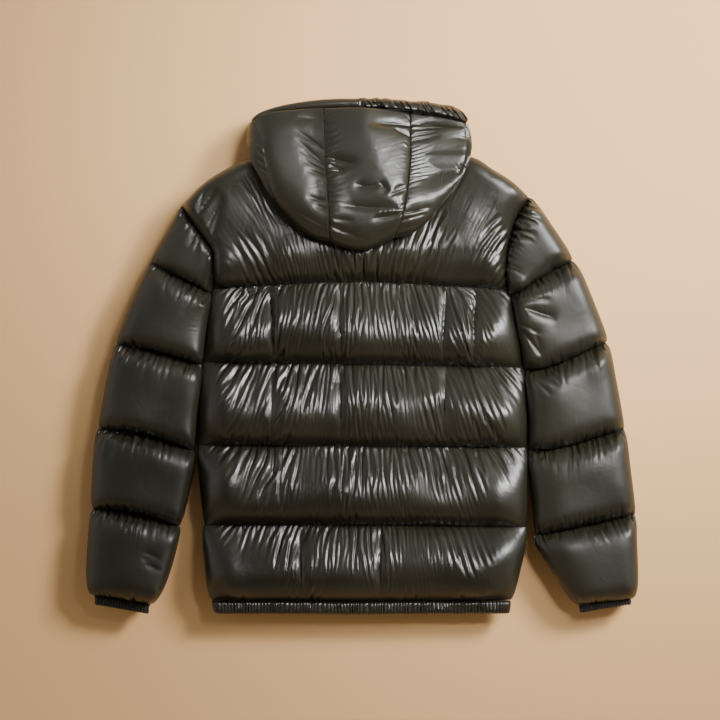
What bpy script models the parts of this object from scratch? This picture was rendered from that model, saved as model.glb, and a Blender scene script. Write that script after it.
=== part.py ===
"""Puffer jacket laid face down: quilted back over zipped fronts, flat sleeves, hood thrown back on the yoke.

Metres. X runs across the back, Y from the hem to the hood, Z up from the surface the jacket lies on.
"""

from collections import namedtuple

import bmesh
import bpy
import numpy as np

# Layers
inner_plane = 0.0360        # the fronts end at this height and the back lies on them
piece_gap = 0.0003          # between two pieces that touch
side_gap = 0.0008           # between two pieces sewn along a curved line
seam_wall = 0.0035          # thickness left under a row of stitches

# Loft of each padded piece, above its seams
back_loft = 0.0345
yoke_loft = 0.0302
sleeve_loft = 0.0330
front_loft = 0.0400         # more than the height it has, so that its underside is pressed flat
band_loft = 0.0085
rim_loft = 0.0110

# How far in from an edge a piece reaches its full loft
body_flank = 0.045
front_edge_flank = 0.022
hood_flank = 0.042
row_fullness = 2.3          # exponent of the rounded section: 2 is an ellipse, more is squarer
side_fullness = 2.6         # the same for a row's side, seen from above
hood_fullness = 2.2
full_half_row = 0.055       # rows with less than this from seam to middle have less loft
short_row_power = 0.6
parting_power = 1.5         # how late a sleeve's edge parts from the side of the body

# Hood, thrown back
hood_rest = 0.0703          # the underside of the hood where it lies on the yoke
hood_top = 0.1100
hood_top_y = 0.245          # where the hood is highest
rim_height = 0.0440         # top of the hood at the rim seam
rim_seam_y = 0.385
hood_seam_depth = 0.0045
hood_seam_width = 0.0080
neck_side_x = -0.166        # the hood's front halves end here, at the side of the neck
rim_seam_gap = 0.0012
rim_full_half_width = 0.008

# Front zip
zip_half = 0.0083           # half of the opening between the fronts
chain_half = 0.0030
tape_inner = 0.0033
tape_outer = 0.0080
zip_bottom = -0.4010
zip_top = 0.3455
tape_top = 0.3520

Seam = namedtuple("Seam", "left_x left_y middle_x middle_y right_x right_y")
Swell = namedtuple("Swell", "left_upper left_lower right_upper right_lower")
Point = namedtuple("Point", "x y")
Crease = namedtuple("Crease", "x y reach_x reach_y width depth")
Level = namedtuple("Level", "y z")
Ring = namedtuple("Ring", "down fullness inside")

# Quilting seams of the body from the chest down to the hem, and how far each row's edges swell past them
body_seams = [
    Seam(-0.2325, 0.1060, 0.0000, 0.1160, 0.2315, 0.1040),
    Seam(-0.2480, -0.0100, 0.0000, -0.0120, 0.2540, -0.0170),
    Seam(-0.2560, -0.1390, 0.0000, -0.1400, 0.2590, -0.1420),
    Seam(-0.2440, -0.2630, 0.0000, -0.2630, 0.2570, -0.2660),
    Seam(-0.2325, -0.3800, 0.0000, -0.3812, 0.2320, -0.3800),
]
body_swells = [
    Swell(0.0010, 0.0010, 0.0010, 0.0010),
    Swell(0.0012, 0.0012, 0.0012, 0.0012),
    Swell(0.0020, 0.0025, 0.0010, 0.0005),
    Swell(0.0065, 0.0075, 0.0050, 0.0060),
]
hem_edge = Seam(-0.2280, -0.4010, 0.0000, -0.4025, 0.2300, -0.4010)
hem_swell = Swell(0.0020, 0.0020, 0.0020, 0.0020)

# Shoulder seams, back neck and armholes
back_top = [Point(-0.280, 0.235), Point(-0.253, 0.264), Point(-0.224, 0.285), Point(-0.175, 0.308),
            Point(-0.100, 0.3205), Point(0.000, 0.3225), Point(0.100, 0.3215), Point(0.171, 0.312),
            Point(0.206, 0.292), Point(0.236, 0.272), Point(0.261, 0.248)]
left_armhole = [Point(-0.280, 0.235), Point(-0.266, 0.212), Point(-0.249, 0.188), Point(-0.234, 0.166),
                Point(-0.232, 0.144), Point(-0.2325, 0.106)]
right_armhole = [Point(0.261, 0.248), Point(0.246, 0.225), Point(0.234, 0.195), Point(0.228, 0.163),
                 Point(0.2265, 0.137), Point(0.2315, 0.104)]
left_front_top = back_top[:4] + [Point(-0.120, 0.3170), Point(-0.085, 0.2950), Point(-0.045, 0.2700),
                                 Point(-zip_half, 0.2620)]
right_front_top = [Point(zip_half, 0.2620), Point(0.045, 0.2700), Point(0.085, 0.2950),
                   Point(0.120, 0.3180)] + back_top[7:]

# Quilting seams of the sleeves from the first one below the armhole down to the cuff
left_sleeve_seams = [
    Seam(-0.3284, 0.1459, -0.2800, 0.1205, -0.2352, 0.0985),
    Seam(-0.3800, 0.0190, -0.3150, 0.0050, -0.2502, -0.0135),
    Seam(-0.4090, -0.1130, -0.3370, -0.1240, -0.2625, -0.1480),
    Seam(-0.4170, -0.2370, -0.3500, -0.2460, -0.2855, -0.2650),
    Seam(-0.4180, -0.3725, -0.3740, -0.3795, -0.3300, -0.3865),
]
left_sleeve_swells = [
    Swell(0.0010, 0.0030, 0.0000, 0.0000),
    Swell(0.0050, 0.0070, 0.0000, 0.0000),
    Swell(0.0080, 0.0040, 0.0000, 0.0000),
    Swell(0.0070, 0.0080, 0.0035, 0.0015),
    Swell(0.0080, 0.0150, 0.0050, 0.0120),
]
right_sleeve_seams = [
    Seam(0.2347, 0.0955, 0.2830, 0.1255, 0.3270, 0.1495),
    Seam(0.2563, -0.0220, 0.3000, -0.0145, 0.3800, 0.0220),
    Seam(0.2620, -0.1480, 0.3180, -0.1415, 0.4090, -0.1135),
    Seam(0.2720, -0.2800, 0.3450, -0.2655, 0.4260, -0.2470),
    Seam(0.3385, -0.3880, 0.3800, -0.3835, 0.4210, -0.3780),
]
right_sleeve_swells = [
    Swell(0.0000, 0.0000, 0.0070, 0.0070),
    Swell(0.0000, 0.0000, 0.0080, 0.0085),
    Swell(0.0000, 0.0000, 0.0060, 0.0030),
    Swell(0.0000, 0.0000, 0.0025, 0.0030),
    Swell(0.0110, 0.0080, 0.0020, 0.0120),
]
sleeve_rows_on_body = {"left": 2, "right": 3}   # rows whose inner edge follows the side of the body
left_cuff_edge = Seam(-0.4130, -0.3875, -0.3740, -0.3940, -0.3350, -0.4015)
right_cuff_edge = Seam(0.3440, -0.4000, 0.3830, -0.3940, 0.4200, -0.3865)

# Hood: the rim's outer edge and its seam, the two panel seams, and the fold round the crown
rim_edge = [Point(-0.1720, 0.3685), Point(-0.158, 0.380), Point(-0.118, 0.392), Point(-0.058, 0.400),
            Point(0.001, 0.401), Point(0.061, 0.399), Point(0.121, 0.392), Point(0.152, 0.382),
            Point(0.1665, 0.3680)]
rim_seam = [Point(-0.1690, 0.3650), Point(-0.142, 0.3775), Point(-0.106, 0.382), Point(-0.0593, 0.3850),
            Point(0.001, 0.3855), Point(0.0752, 0.3815), Point(0.121, 0.374), Point(0.1630, 0.3630)]
left_hood_seam = [Point(-0.0593, 0.3850), Point(-0.0560, 0.3050), Point(-0.0505, 0.2300),
                  Point(-0.0493, 0.1780)]
right_hood_seam = [Point(0.0752, 0.3815), Point(0.0765, 0.3550), Point(0.0735, 0.2840), Point(0.0640, 0.2200),
                   Point(0.0495, 0.1845)]
left_hood_side = [Point(-0.1715, 0.3640), Point(-0.1755, 0.3280), Point(-0.168, 0.301), Point(-0.146, 0.260)]
right_hood_side = [Point(0.1655, 0.3620), Point(0.1715, 0.3320), Point(0.1680, 0.3080), Point(0.157, 0.282),
                   Point(0.140, 0.263)]
left_crown = [Point(-0.146, 0.260), Point(-0.118, 0.225), Point(-0.082, 0.191), Point(-0.0493, 0.1780)]
centre_crown = [Point(-0.0493, 0.1780), Point(0.001, 0.166), Point(0.0495, 0.1845)]
right_crown = [Point(0.0495, 0.1845), Point(0.092, 0.201), Point(0.116, 0.234), Point(0.140, 0.263)]
neck_rim = [Point(-0.1640, 0.3600), Point(-0.152, 0.3700), Point(-0.116, 0.382), Point(-0.058, 0.391),
            Point(-zip_half, 0.3930)]

# The hood's underside from the crown to the rim: on the yoke, then down behind the neck to the front halves
hood_underside = [Level(0.150, hood_rest), Level(0.300, hood_rest), Level(0.312, 0.0680),
                  Level(0.324, 0.0580), Level(0.337, inner_plane + piece_gap),
                  Level(0.410, inner_plane + piece_gap)]

# The deepest creases of the back, each from its starting point along its reach
back_creases = [
    Crease(-0.190, 0.215, 0.045, -0.075, 0.010, 0.0035),
    Crease(-0.155, 0.205, 0.040, -0.072, 0.010, 0.0040),
    Crease(-0.118, 0.190, 0.028, -0.060, 0.010, 0.0035),
    Crease(-0.070, 0.168, 0.012, -0.044, 0.009, 0.0030),
    Crease(-0.010, 0.160, 0.004, -0.038, 0.009, 0.0030),
    Crease(0.055, 0.170, -0.012, -0.048, 0.009, 0.0030),
    Crease(0.112, 0.205, -0.030, -0.080, 0.010, 0.0040),
    Crease(0.160, 0.225, -0.040, -0.090, 0.010, 0.0040),
    Crease(0.205, 0.205, -0.022, -0.075, 0.010, 0.0030),
    Crease(-0.140, 0.112, 0.002, -0.085, 0.009, 0.0045),
    Crease(-0.034, 0.112, 0.002, -0.080, 0.009, 0.0045),
    Crease(0.130, 0.108, -0.004, -0.095, 0.009, 0.0045),
    Crease(0.176, 0.106, -0.002, -0.100, 0.009, 0.0050),
    Crease(-0.140, -0.016, 0.002, -0.070, 0.009, 0.0040),
    Crease(-0.034, -0.016, 0.002, -0.075, 0.009, 0.0040),
    Crease(0.130, -0.018, -0.003, -0.080, 0.009, 0.0040),
    Crease(-0.095, -0.268, 0.002, -0.075, 0.010, 0.0045),
    Crease(0.029, -0.268, 0.001, -0.085, 0.010, 0.0050),
]
crown_crease = Crease(-0.048, 0.222, 0.108, -0.002, 0.0055, 0.0050)

# Gathers along the seams of the back and the hem, and ribs on the cuffs
pucker_depth = 0.0048
pucker_fade = 0.018
pucker_mean, pucker_spread, pucker_turn, pucker_phase = 0.65, 0.35, 1.7, 0.6
creased_from = 0.012        # loft from which creases have their full depth
hood_covers_y = 0.190       # no ridges above this, where the hood lies on the yoke
band_gathers = 54
band_gather_depth = 0.0022
band_flank = 0.012
cuff_ribs = 14
cuff_rib_depth = 0.0009
cuff_half_height = 0.0070
cuff_wall = 0.0030
cuff_roundness = 0.55
sharp_angle = 0.9           # edges sharper than this stay hard
flat_angle = 0.01           # faces closer to one plane than this are joined
# Rings of a cuff: down its outside from the sleeve's seam to its end, then back up inside
cuff_sections = [Ring(0.0, 0.75, False), Ring(0.20, 1.0, False), Ring(0.80, 1.0, False),
                 Ring(1.0, 0.75, False), Ring(1.0, 0.0, True), Ring(0.0, 0.0, True)]

# Where the grids have their lines, as fractions of a row or a panel
row_steps = np.array([0.0, 0.04, 0.15, 0.34, 0.66, 0.85, 0.96, 1.0])
body_steps = np.concatenate([[0.0, 0.007, 0.025], np.linspace(0.055, 0.945, 43), [0.975, 0.993, 1.0]])
front_steps = np.array([0.0, 0.02, 0.07, 0.16, 0.28, 0.42, 0.56, 0.70, 0.82, 0.91, 0.975, 1.0])
band_steps = np.array([0.0, 0.16, 0.50, 0.84, 1.0])
hood_down_steps = np.array([0.0, 0.035, 0.12, 0.20, 0.27, 0.34, 0.42, 0.55, 0.68, 0.745, 0.81, 0.91, 0.98,
                            1.0])
hood_across_steps = np.array([0.0, 0.05, 0.16, 0.36, 0.64, 0.84, 0.95, 1.0])


def smooth_line(points, fractions):
    """Positions at fractions of the length of a smooth curve through a few points."""
    knots = np.array(points, float)
    if len(knots) == 2:
        return np.outer(1 - fractions, knots[0]) + np.outer(fractions, knots[1])
    ends = np.vstack([2 * knots[0] - knots[1], knots, 2 * knots[-1] - knots[-2]])
    t = np.linspace(0, 1, 40, endpoint=False)[:, None]
    dense = [0.5 * (2 * b + (c - a) * t + (2 * a - 5 * b + 4 * c - d) * t ** 2
                    + (3 * b - a - 3 * c + d) * t ** 3)
             for a, b, c, d in zip(ends, ends[1:], ends[2:], ends[3:])]
    dense = np.vstack(dense + [knots[-1:]])
    length = np.concatenate([[0], np.cumsum(np.linalg.norm(np.diff(dense, axis=0), axis=1))])
    return np.column_stack([np.interp(fractions * length[-1], length, dense[:, axis]) for axis in (0, 1)])


def seam_line(seam, fractions):
    return smooth_line([seam[0:2], seam[2:4], seam[4:6]], fractions)


def rounded(distance, radius, fullness=row_fullness):
    """0 at an edge, rising steeply at first, and 1 from the radius inwards."""
    reach = np.clip(1 - distance / radius, 0, 1)
    return (1 - reach ** fullness) ** (1 / fullness)


def swollen_edge(start, end, upper, lower, outward, fractions):
    """The side of a row: straight from seam to seam, swollen outward in between."""
    edge = np.outer(1 - fractions, start) + np.outer(fractions, end)
    swell = (upper * (1 - fractions) + lower * fractions) * rounded(np.minimum(fractions, 1 - fractions), 0.5,
                                                                          side_fullness)
    edge[:, 0] += outward * swell
    return edge


def followed_edge(neighbour, start, end, fractions):
    """The side of a row that follows its neighbour's edge and slowly parts from it."""
    parting = (fractions ** parting_power)[:, None]
    return neighbour + (1 - parting) * (start - neighbour[0]) + parting * (end - neighbour[-1])


def patch(top, bottom, left, right, across, down):
    """Plan positions inside four edge lines, blended between them."""
    s, t = across[None, :, None], down[:, None, None]
    corners = (1 - t) * ((1 - s) * top[0] + s * top[-1]) + t * ((1 - s) * bottom[0] + s * bottom[-1])
    return (1 - t) * top[None] + t * bottom[None] + (1 - s) * left[:, None] + s * right[:, None] - corners


class Panel:
    """A grid of plan positions in rows from seam to seam, with the distances that shape its relief."""

    def __init__(self, rails, lefts, rights, across, down):
        plans, seam_distances, half_rows, row_numbers = [], [], [], []
        for row, (left, right) in enumerate(zip(lefts, rights)):
            plan = patch(rails[row], rails[row + 1], left, right, across, down)
            length = np.linalg.norm(rails[row + 1] - rails[row], axis=1)[None, :]
            kept = slice(0 if row == 0 else 1, None)
            plans.append(plan[kept])
            seam_distances.append((np.minimum(down, 1 - down)[:, None] * length)[kept])
            half_rows.append(np.repeat(length / 2, len(down), axis=0)[kept])
            row_numbers.append(np.full(plan.shape[:2], row)[kept])
        self.plan = np.concatenate(plans)
        self.seam_distance = np.concatenate(seam_distances)
        self.half_row = np.concatenate(half_rows)
        self.row = np.concatenate(row_numbers)
        width = np.linalg.norm(self.plan[:, -1] - self.plan[:, 0], axis=1)[:, None]
        self.from_left = across[None, :] * width
        self.from_right = (1 - across)[None, :] * width
        self.x, self.y = self.plan[..., 0], self.plan[..., 1]

    def loft(self, height, left_flank, right_flank):
        """Rounded rows: full in the middle, nothing over the seams and along the sides."""
        rows = rounded(self.seam_distance, self.half_row)
        rows *= np.minimum(1, (self.half_row / full_half_row) ** short_row_power)
        sides = rounded(self.from_left, left_flank) * rounded(self.from_right, right_flank)
        return height * rows * sides


def crease_relief(creases, x, y):
    """Soft troughs, each tapering from its start to the end of its reach."""
    relief = np.zeros_like(x)
    for crease in creases:
        reach = np.hypot(crease.reach_x, crease.reach_y)
        along = ((x - crease.x) * crease.reach_x + (y - crease.y) * crease.reach_y) / reach ** 2
        across = ((x - crease.x) * crease.reach_y - (y - crease.y) * crease.reach_x) / reach
        taper = np.clip(4 * np.clip(along, 0, 1) * (1 - np.clip(along, 0, 1)), 0, 1)
        relief = np.maximum(relief, crease.depth * taper * np.exp(-(across / crease.width) ** 2))
    return relief


def pucker_relief(panel, depth):
    """Every second line of points dips beside the seams, by uneven amounts."""
    line = np.arange(panel.x.shape[1])
    uneven = (-1.0) ** line * (pucker_mean + pucker_spread * np.sin(pucker_turn * line + pucker_phase))
    beside_seam = rounded(panel.seam_distance, panel.half_row) * np.exp(-panel.seam_distance / pucker_fade)
    return depth * uneven[None, :] * beside_seam


def material(name, colour, roughness, metallic=0.0):
    result = bpy.data.materials.new(name)
    result.use_nodes = True
    shader = result.node_tree.nodes["Principled BSDF"]
    shader.inputs["Base Color"].default_value = (*colour, 1.0)
    shader.inputs["Roughness"].default_value = roughness
    shader.inputs["Metallic"].default_value = metallic
    return result


def add_object(name, vertices, faces, surface, smooth=True):
    """A closed outward mesh under the jacket's empty, its flat underside joined into single faces."""
    mesh = bpy.data.meshes.new(name)
    mesh.from_pydata([tuple(map(float, vertex)) for vertex in vertices], [], faces)
    shape = bmesh.new()
    shape.from_mesh(mesh)
    bmesh.ops.recalc_face_normals(shape, faces=shape.faces)
    resting = [face for face in shape.faces if all(vertex.co.z == 0 for vertex in face.verts)]
    bmesh.ops.dissolve_faces(shape, faces=resting)
    if not smooth:
        bmesh.ops.dissolve_limit(shape, angle_limit=flat_angle, verts=shape.verts, edges=shape.edges)
    shape.to_mesh(mesh)
    shape.free()
    if smooth:
        mesh.shade_smooth()
        mesh.set_sharp_from_angle(angle=sharp_angle)
    mesh.materials.append(surface)
    piece = bpy.data.objects.new(name, mesh)
    piece.parent = jacket
    bpy.context.scene.collection.objects.link(piece)
    return piece


def grid_solid(name, plan, outer, inner, surface):
    """A piece between a grid of outer heights and its inside: a flat face at one height, or a second grid."""
    rows, columns = plan.shape[:2]
    index = np.arange(rows * columns).reshape(rows, columns)
    rim = np.concatenate([index[0, :-1], index[:-1, -1], index[-1, :0:-1], index[:0:-1, 0]])
    quads = np.stack([index[:-1, :-1], index[1:, :-1], index[1:, 1:], index[:-1, 1:]], axis=-1).reshape(-1, 4)
    flat_plan = plan.reshape(-1, 2)
    vertices = [np.column_stack([flat_plan, outer.reshape(-1)])]
    faces = [tuple(quad) for quad in quads.tolist()]
    if np.ndim(inner) == 0:
        vertices.append(np.column_stack([flat_plan[rim], np.full(len(rim), inner)]))
        inside = rows * columns + np.arange(len(rim))
        faces.append(tuple(inside.tolist()))
    else:
        vertices.append(np.column_stack([flat_plan, inner.reshape(-1)]))
        inside = rim + rows * columns
        faces += [tuple(quad) for quad in (quads[:, ::-1] + rows * columns).tolist()]
    for here in range(len(rim)):
        there = (here + 1) % len(rim)
        faces.append((int(rim[here]), int(rim[there]), int(inside[there]), int(inside[here])))
    return add_object(name, np.vstack(vertices), faces, surface)


def lattice_solid(name, xs, ys, zs, filled, surface):
    """Boxes between the lattice's lines, joined into one body, for the cells whose centre is filled."""
    centres = [[(low + high) / 2 for low, high in zip(lines, lines[1:])] for lines in (xs, ys, zs)]
    cells = {(i, j, k) for i, x in enumerate(centres[0]) for j, y in enumerate(centres[1])
             for k, z in enumerate(centres[2]) if filled(x, y, z)}
    corners, vertices, faces = {}, [], []

    def corner(i, j, k):
        if (i, j, k) not in corners:
            corners[i, j, k] = len(vertices)
            vertices.append((xs[i], ys[j], zs[k]))
        return corners[i, j, k]

    for cell in sorted(cells):
        for axis in range(3):
            for side in (0, 1):
                beside = list(cell)
                beside[axis] += 2 * side - 1
                if tuple(beside) in cells:
                    continue
                face = []
                for u, v in ((0, 0), (1, 0), (1, 1), (0, 1)):
                    place = list(cell)
                    place[axis] += side
                    place[(axis + 1) % 3] += u
                    place[(axis + 2) % 3] += v
                    face.append(corner(*place))
                faces.append(tuple(face if side else face[::-1]))
    return add_object(name, vertices, faces, surface, smooth=False)


def box(name, low, high, surface):
    return lattice_solid(name, *zip(low, high), lambda x, y, z: True, surface)


def body_edges(steps):
    """The two sides of each row of the body below the yoke."""
    lefts, rights = [], []
    for upper, lower, swell in zip(body_seams, body_seams[1:], body_swells):
        lefts.append(swollen_edge(upper[0:2], lower[0:2], swell.left_upper, swell.left_lower, -1, steps))
        rights.append(swollen_edge(upper[4:6], lower[4:6], swell.right_upper, swell.right_lower, 1, steps))
    return lefts, rights


def build_back():
    rails = [smooth_line(back_top, body_steps)] + [seam_line(seam, body_steps) for seam in body_seams]
    lefts, rights = body_edges(row_steps)
    lefts.insert(0, smooth_line(left_armhole, row_steps))
    rights.insert(0, smooth_line(right_armhole, row_steps))
    panel = Panel(rails, lefts, rights, body_steps, row_steps)
    height = panel.loft(np.where(panel.row == 0, yoke_loft, back_loft), body_flank, body_flank)
    relief = pucker_relief(panel, pucker_depth) + crease_relief(back_creases, panel.x, panel.y)
    relief *= np.minimum(1, height / creased_from)
    relief = np.where(panel.y > hood_covers_y, np.maximum(relief, 0), relief)
    outer = inner_plane + piece_gap + seam_wall + np.maximum(height - relief, 0)
    grid_solid("back_panel", panel.plan, outer, inner_plane + piece_gap, nylon)


def front_rails(side, steps):
    """Seams of one front, from the side of the body to the zip, left to right."""
    rails = [smooth_line(left_front_top if side == "left" else right_front_top, steps)]
    for seam in body_seams:
        if side == "left":
            rails.append(smooth_line([seam[0:2], (-zip_half, seam.middle_y)], steps))
        else:
            rails.append(smooth_line([(zip_half, seam.middle_y), seam[4:6]], steps))
    return rails


def build_front(side):
    steps = front_steps if side == "left" else 1 - front_steps[::-1]
    rails = front_rails(side, steps)
    body_lefts, body_rights = body_edges(row_steps)
    zip_edges = [smooth_line([upper, lower], row_steps)
                 for upper, lower in zip([rail[-1 if side == "left" else 0] for rail in rails],
                                         [rail[-1 if side == "left" else 0] for rail in rails[1:]])]
    if side == "left":
        lefts = [smooth_line(left_armhole, row_steps)] + body_lefts
        panel = Panel(rails, lefts, zip_edges, steps, row_steps)
        loft = panel.loft(front_loft, body_flank, front_edge_flank)
    else:
        rights = [smooth_line(right_armhole, row_steps)] + body_rights
        panel = Panel(rails, zip_edges, rights, steps, row_steps)
        loft = panel.loft(front_loft, front_edge_flank, body_flank)
    grid_solid("front_" + side, panel.plan, np.maximum(inner_plane - seam_wall - loft, 0), inner_plane, nylon)
    return rails[0]


def build_neck(side, front_top):
    """One front half of the hood, from the neckline of its front up to just inside the rim."""
    mirror = -1 if side == "right" else 1
    line = front_top[::mirror] * (mirror, 1)
    line = line[line[:, 0] > neck_side_x] + (0, side_gap)
    length = np.concatenate([[0], np.cumsum(np.linalg.norm(np.diff(line, axis=0), axis=1))])
    across = length / length[-1]
    top = smooth_line(neck_rim, across)
    left = smooth_line([top[0], line[0]], row_steps)
    right = smooth_line([top[-1], line[-1]], row_steps)
    panel = Panel([top, line], [left], [right], across, row_steps)
    loft = panel.loft(front_loft, hood_flank, front_edge_flank)
    plan = panel.plan * (mirror, 1)
    grid_solid("hood_neck_" + side, plan, np.maximum(inner_plane - seam_wall - loft, 0), inner_plane, nylon)


def sleeve_edges(side, seams, swells, armhole_end, steps):
    """The two sides of each row of a sleeve. Rows beside the body follow its edge."""
    body_sides = dict(zip(("left", "right"), body_edges(steps)))[side]
    inner, outer = (slice(4, 6), slice(0, 2)) if side == "left" else (slice(0, 2), slice(4, 6))
    armhole = left_armhole if side == "left" else right_armhole
    inner_sides = [smooth_line([armhole_end, seams[0][inner]], steps)]
    outer_sides = []
    for row, swell in enumerate(swells):
        start = np.array(armhole[0]) if row == 0 else np.array(seams[row - 1][outer])
        pushes = swell[0:2] if side == "left" else swell[2:4]
        outward = -1 if side == "left" else 1
        outer_sides.append(swollen_edge(start, seams[row][outer], *pushes, outward, steps))
        if row == 0:
            continue
        start, end = np.array(seams[row - 1][inner]), np.array(seams[row][inner])
        if row <= sleeve_rows_on_body[side]:
            inner_sides.append(followed_edge(body_sides[row - 1], start, end, steps))
        else:
            pushes = swell[2:4] if side == "left" else swell[0:2]
            inner_sides.append(swollen_edge(start, end, *pushes, -outward, steps))
    return (outer_sides, inner_sides) if side == "left" else (inner_sides, outer_sides)


def build_sleeve(side, seams, swells, layer, steps):
    """The upper or the under half of a sleeve, as a row of quilted tubes seen flat."""
    outward = -1 if side == "left" else 1
    armhole = smooth_line(left_armhole if side == "left" else right_armhole, steps) + (outward * side_gap, 0)
    armhole_rail = armhole if side == "left" else armhole[::-1]
    rails = [armhole_rail] + [seam_line(seam, steps if side == "left" else 1 - steps[::-1]) for seam in seams]
    lefts, rights = sleeve_edges(side, seams, swells, armhole[-1], steps)
    outer_start = armhole[0]
    outers = lefts if side == "left" else rights
    outers[0] += np.outer(1 - steps, outer_start - outers[0][0])
    across = steps if side == "left" else 1 - steps[::-1]
    panel = Panel(rails, lefts, rights, across, steps)
    half_width = (panel.from_left + panel.from_right) / 2
    plan = panel.plan
    if layer == "upper":
        outer = inner_plane + piece_gap + seam_wall + panel.loft(sleeve_loft, half_width, half_width)
        grid_solid(f"sleeve_{side}_upper", plan, outer, inner_plane + piece_gap, nylon)
    else:
        outer = np.maximum(inner_plane - seam_wall - panel.loft(front_loft, half_width, half_width), 0)
        grid_solid(f"sleeve_{side}_under", plan, outer, inner_plane, nylon)


def build_band(name, top, bottom, swell, layer, columns):
    """A length of the hem band, gathered by its elastic on the upper side."""
    across = np.linspace(0, 1, columns)
    down = band_steps
    left = swollen_edge(top[0], bottom[0], swell.left_upper, swell.left_lower, -1, down)
    right = swollen_edge(top[-1], bottom[-1], swell.right_upper, swell.right_lower, 1, down)
    panel = Panel([top, bottom], [left], [right], across, down)
    height = band_loft * rounded(panel.seam_distance, panel.half_row)
    height *= rounded(panel.from_left, band_flank) * rounded(panel.from_right, band_flank)
    if layer == "upper":
        gathers = 0.5 * band_gather_depth * (-1.0) ** np.arange(columns) * (height / band_loft)
        outer = inner_plane + piece_gap + seam_wall + height + gathers
        grid_solid(name, panel.plan, outer, inner_plane + piece_gap, nylon)
    else:
        grid_solid(name, panel.plan, inner_plane - seam_wall - height, inner_plane, nylon)


def build_hem():
    gap = np.array([0, -side_gap])
    columns = 2 * band_gathers + 1
    steps = np.linspace(0, 1, columns)
    build_band("hem_back", seam_line(body_seams[-1], steps) + gap, seam_line(hem_edge, steps), hem_swell,
               "upper", columns)
    steps = np.linspace(0, 1, 13)
    hem_y, edge_y = body_seams[-1].middle_y, hem_edge.middle_y
    for side, ends in (("left", slice(0, 2)), ("right", slice(4, 6))):
        near = -zip_half if side == "left" else zip_half
        lines = [[body_seams[-1][ends], (near, hem_y)], [hem_edge[ends], (near, edge_y)]]
        top, bottom = [smooth_line(line if side == "left" else line[::-1], steps) for line in lines]
        swell = hem_swell._replace(**({"right_upper": 0, "right_lower": 0} if side == "left"
                                      else {"left_upper": 0, "left_lower": 0}))
        build_band("hem_front_" + side, top + gap, bottom, swell, "under", len(steps))


def build_cuff(side, seam, edge):
    """A flattened ribbed tube at the end of a sleeve, its two layers lying on each other."""
    around = 4 * cuff_ribs
    angle = 2 * np.pi * np.arange(around) / around
    flat = 0.5 - 0.5 * np.cos(angle)
    lift = np.sign(np.sin(angle)) * np.abs(np.sin(angle)) ** cuff_roundness
    lift[np.abs(np.sin(angle)) < 1e-9] = 0
    middle = inner_plane + piece_gap / 2
    top = seam_line(seam, np.array([0.0, 1.0])) + (0, -side_gap)
    bottom = seam_line(edge, np.array([0.0, 1.0]))
    vertices = []
    for down, fullness, inside in cuff_sections:
        left = (1 - down) * top[0] + down * bottom[0]
        right = (1 - down) * top[1] + down * bottom[1]
        inset = cuff_wall / np.linalg.norm(right - left)
        fraction = inset + (1 - 2 * inset) * flat if inside else flat
        place = np.outer(1 - fraction, left) + np.outer(fraction, right)
        ribs = cuff_rib_depth * (-1.0) ** np.arange(around)
        height = lift * piece_gap if inside else lift * (cuff_half_height * fullness + ribs)
        vertices.append(np.column_stack([place, middle + height]))
    faces = []
    for ring in range(len(cuff_sections)):
        following = (ring + 1) % len(cuff_sections)
        for here in range(around):
            there = (here + 1) % around
            faces.append((ring * around + here, ring * around + there, following * around + there,
                          following * around + here))
    add_object("cuff_" + side, np.vstack(vertices), faces, elastic)


def hood_underside_height(y):
    return np.interp(y, [level.y for level in hood_underside], [level.z for level in hood_underside])


def distance_to_line(x, y, line):
    """Distance in plan from each position to a line of points."""
    position = np.stack([x, y], axis=-1)[..., None, :]
    start, along = line[:-1], np.diff(line, axis=0)
    fraction = np.clip(((position - start) * along).sum(-1) / (along ** 2).sum(-1), 0, 1)
    return np.linalg.norm(position - start - fraction[..., None] * along, axis=-1).min(-1)


def build_hood_panel(name, top, bottom, left, right, seam_on_left, seam_on_right):
    across, down = hood_across_steps, hood_down_steps
    panel = Panel([top, bottom], [left], [right], across, down)
    fractions = np.linspace(0, 1, 30, endpoint=False)
    fold = np.vstack([smooth_line(line, fractions) for line in
                      (left_hood_side, left_crown, centre_crown, right_crown, right_hood_side[::-1])])
    inside = hood_underside_height(panel.y)
    crown = hood_top - (hood_top - rim_height) * ((panel.y - hood_top_y) / (rim_seam_y - hood_top_y)) ** 2
    low = inside + seam_wall
    fullness = rounded(distance_to_line(panel.x, panel.y, fold), hood_flank, hood_fullness)
    groove = np.zeros_like(panel.x)
    if seam_on_left:
        groove = np.maximum(groove, np.exp(-(panel.from_left / hood_seam_width) ** 2))
    if seam_on_right:
        groove = np.maximum(groove, np.exp(-(panel.from_right / hood_seam_width) ** 2))
    relief = hood_seam_depth * groove + crease_relief([crown_crease], panel.x, panel.y)
    outer = low + np.maximum(crown - low, 0) * fullness
    outer = np.maximum(outer - relief * fullness, low)
    grid_solid(name, panel.plan, outer, inside, nylon)


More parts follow.
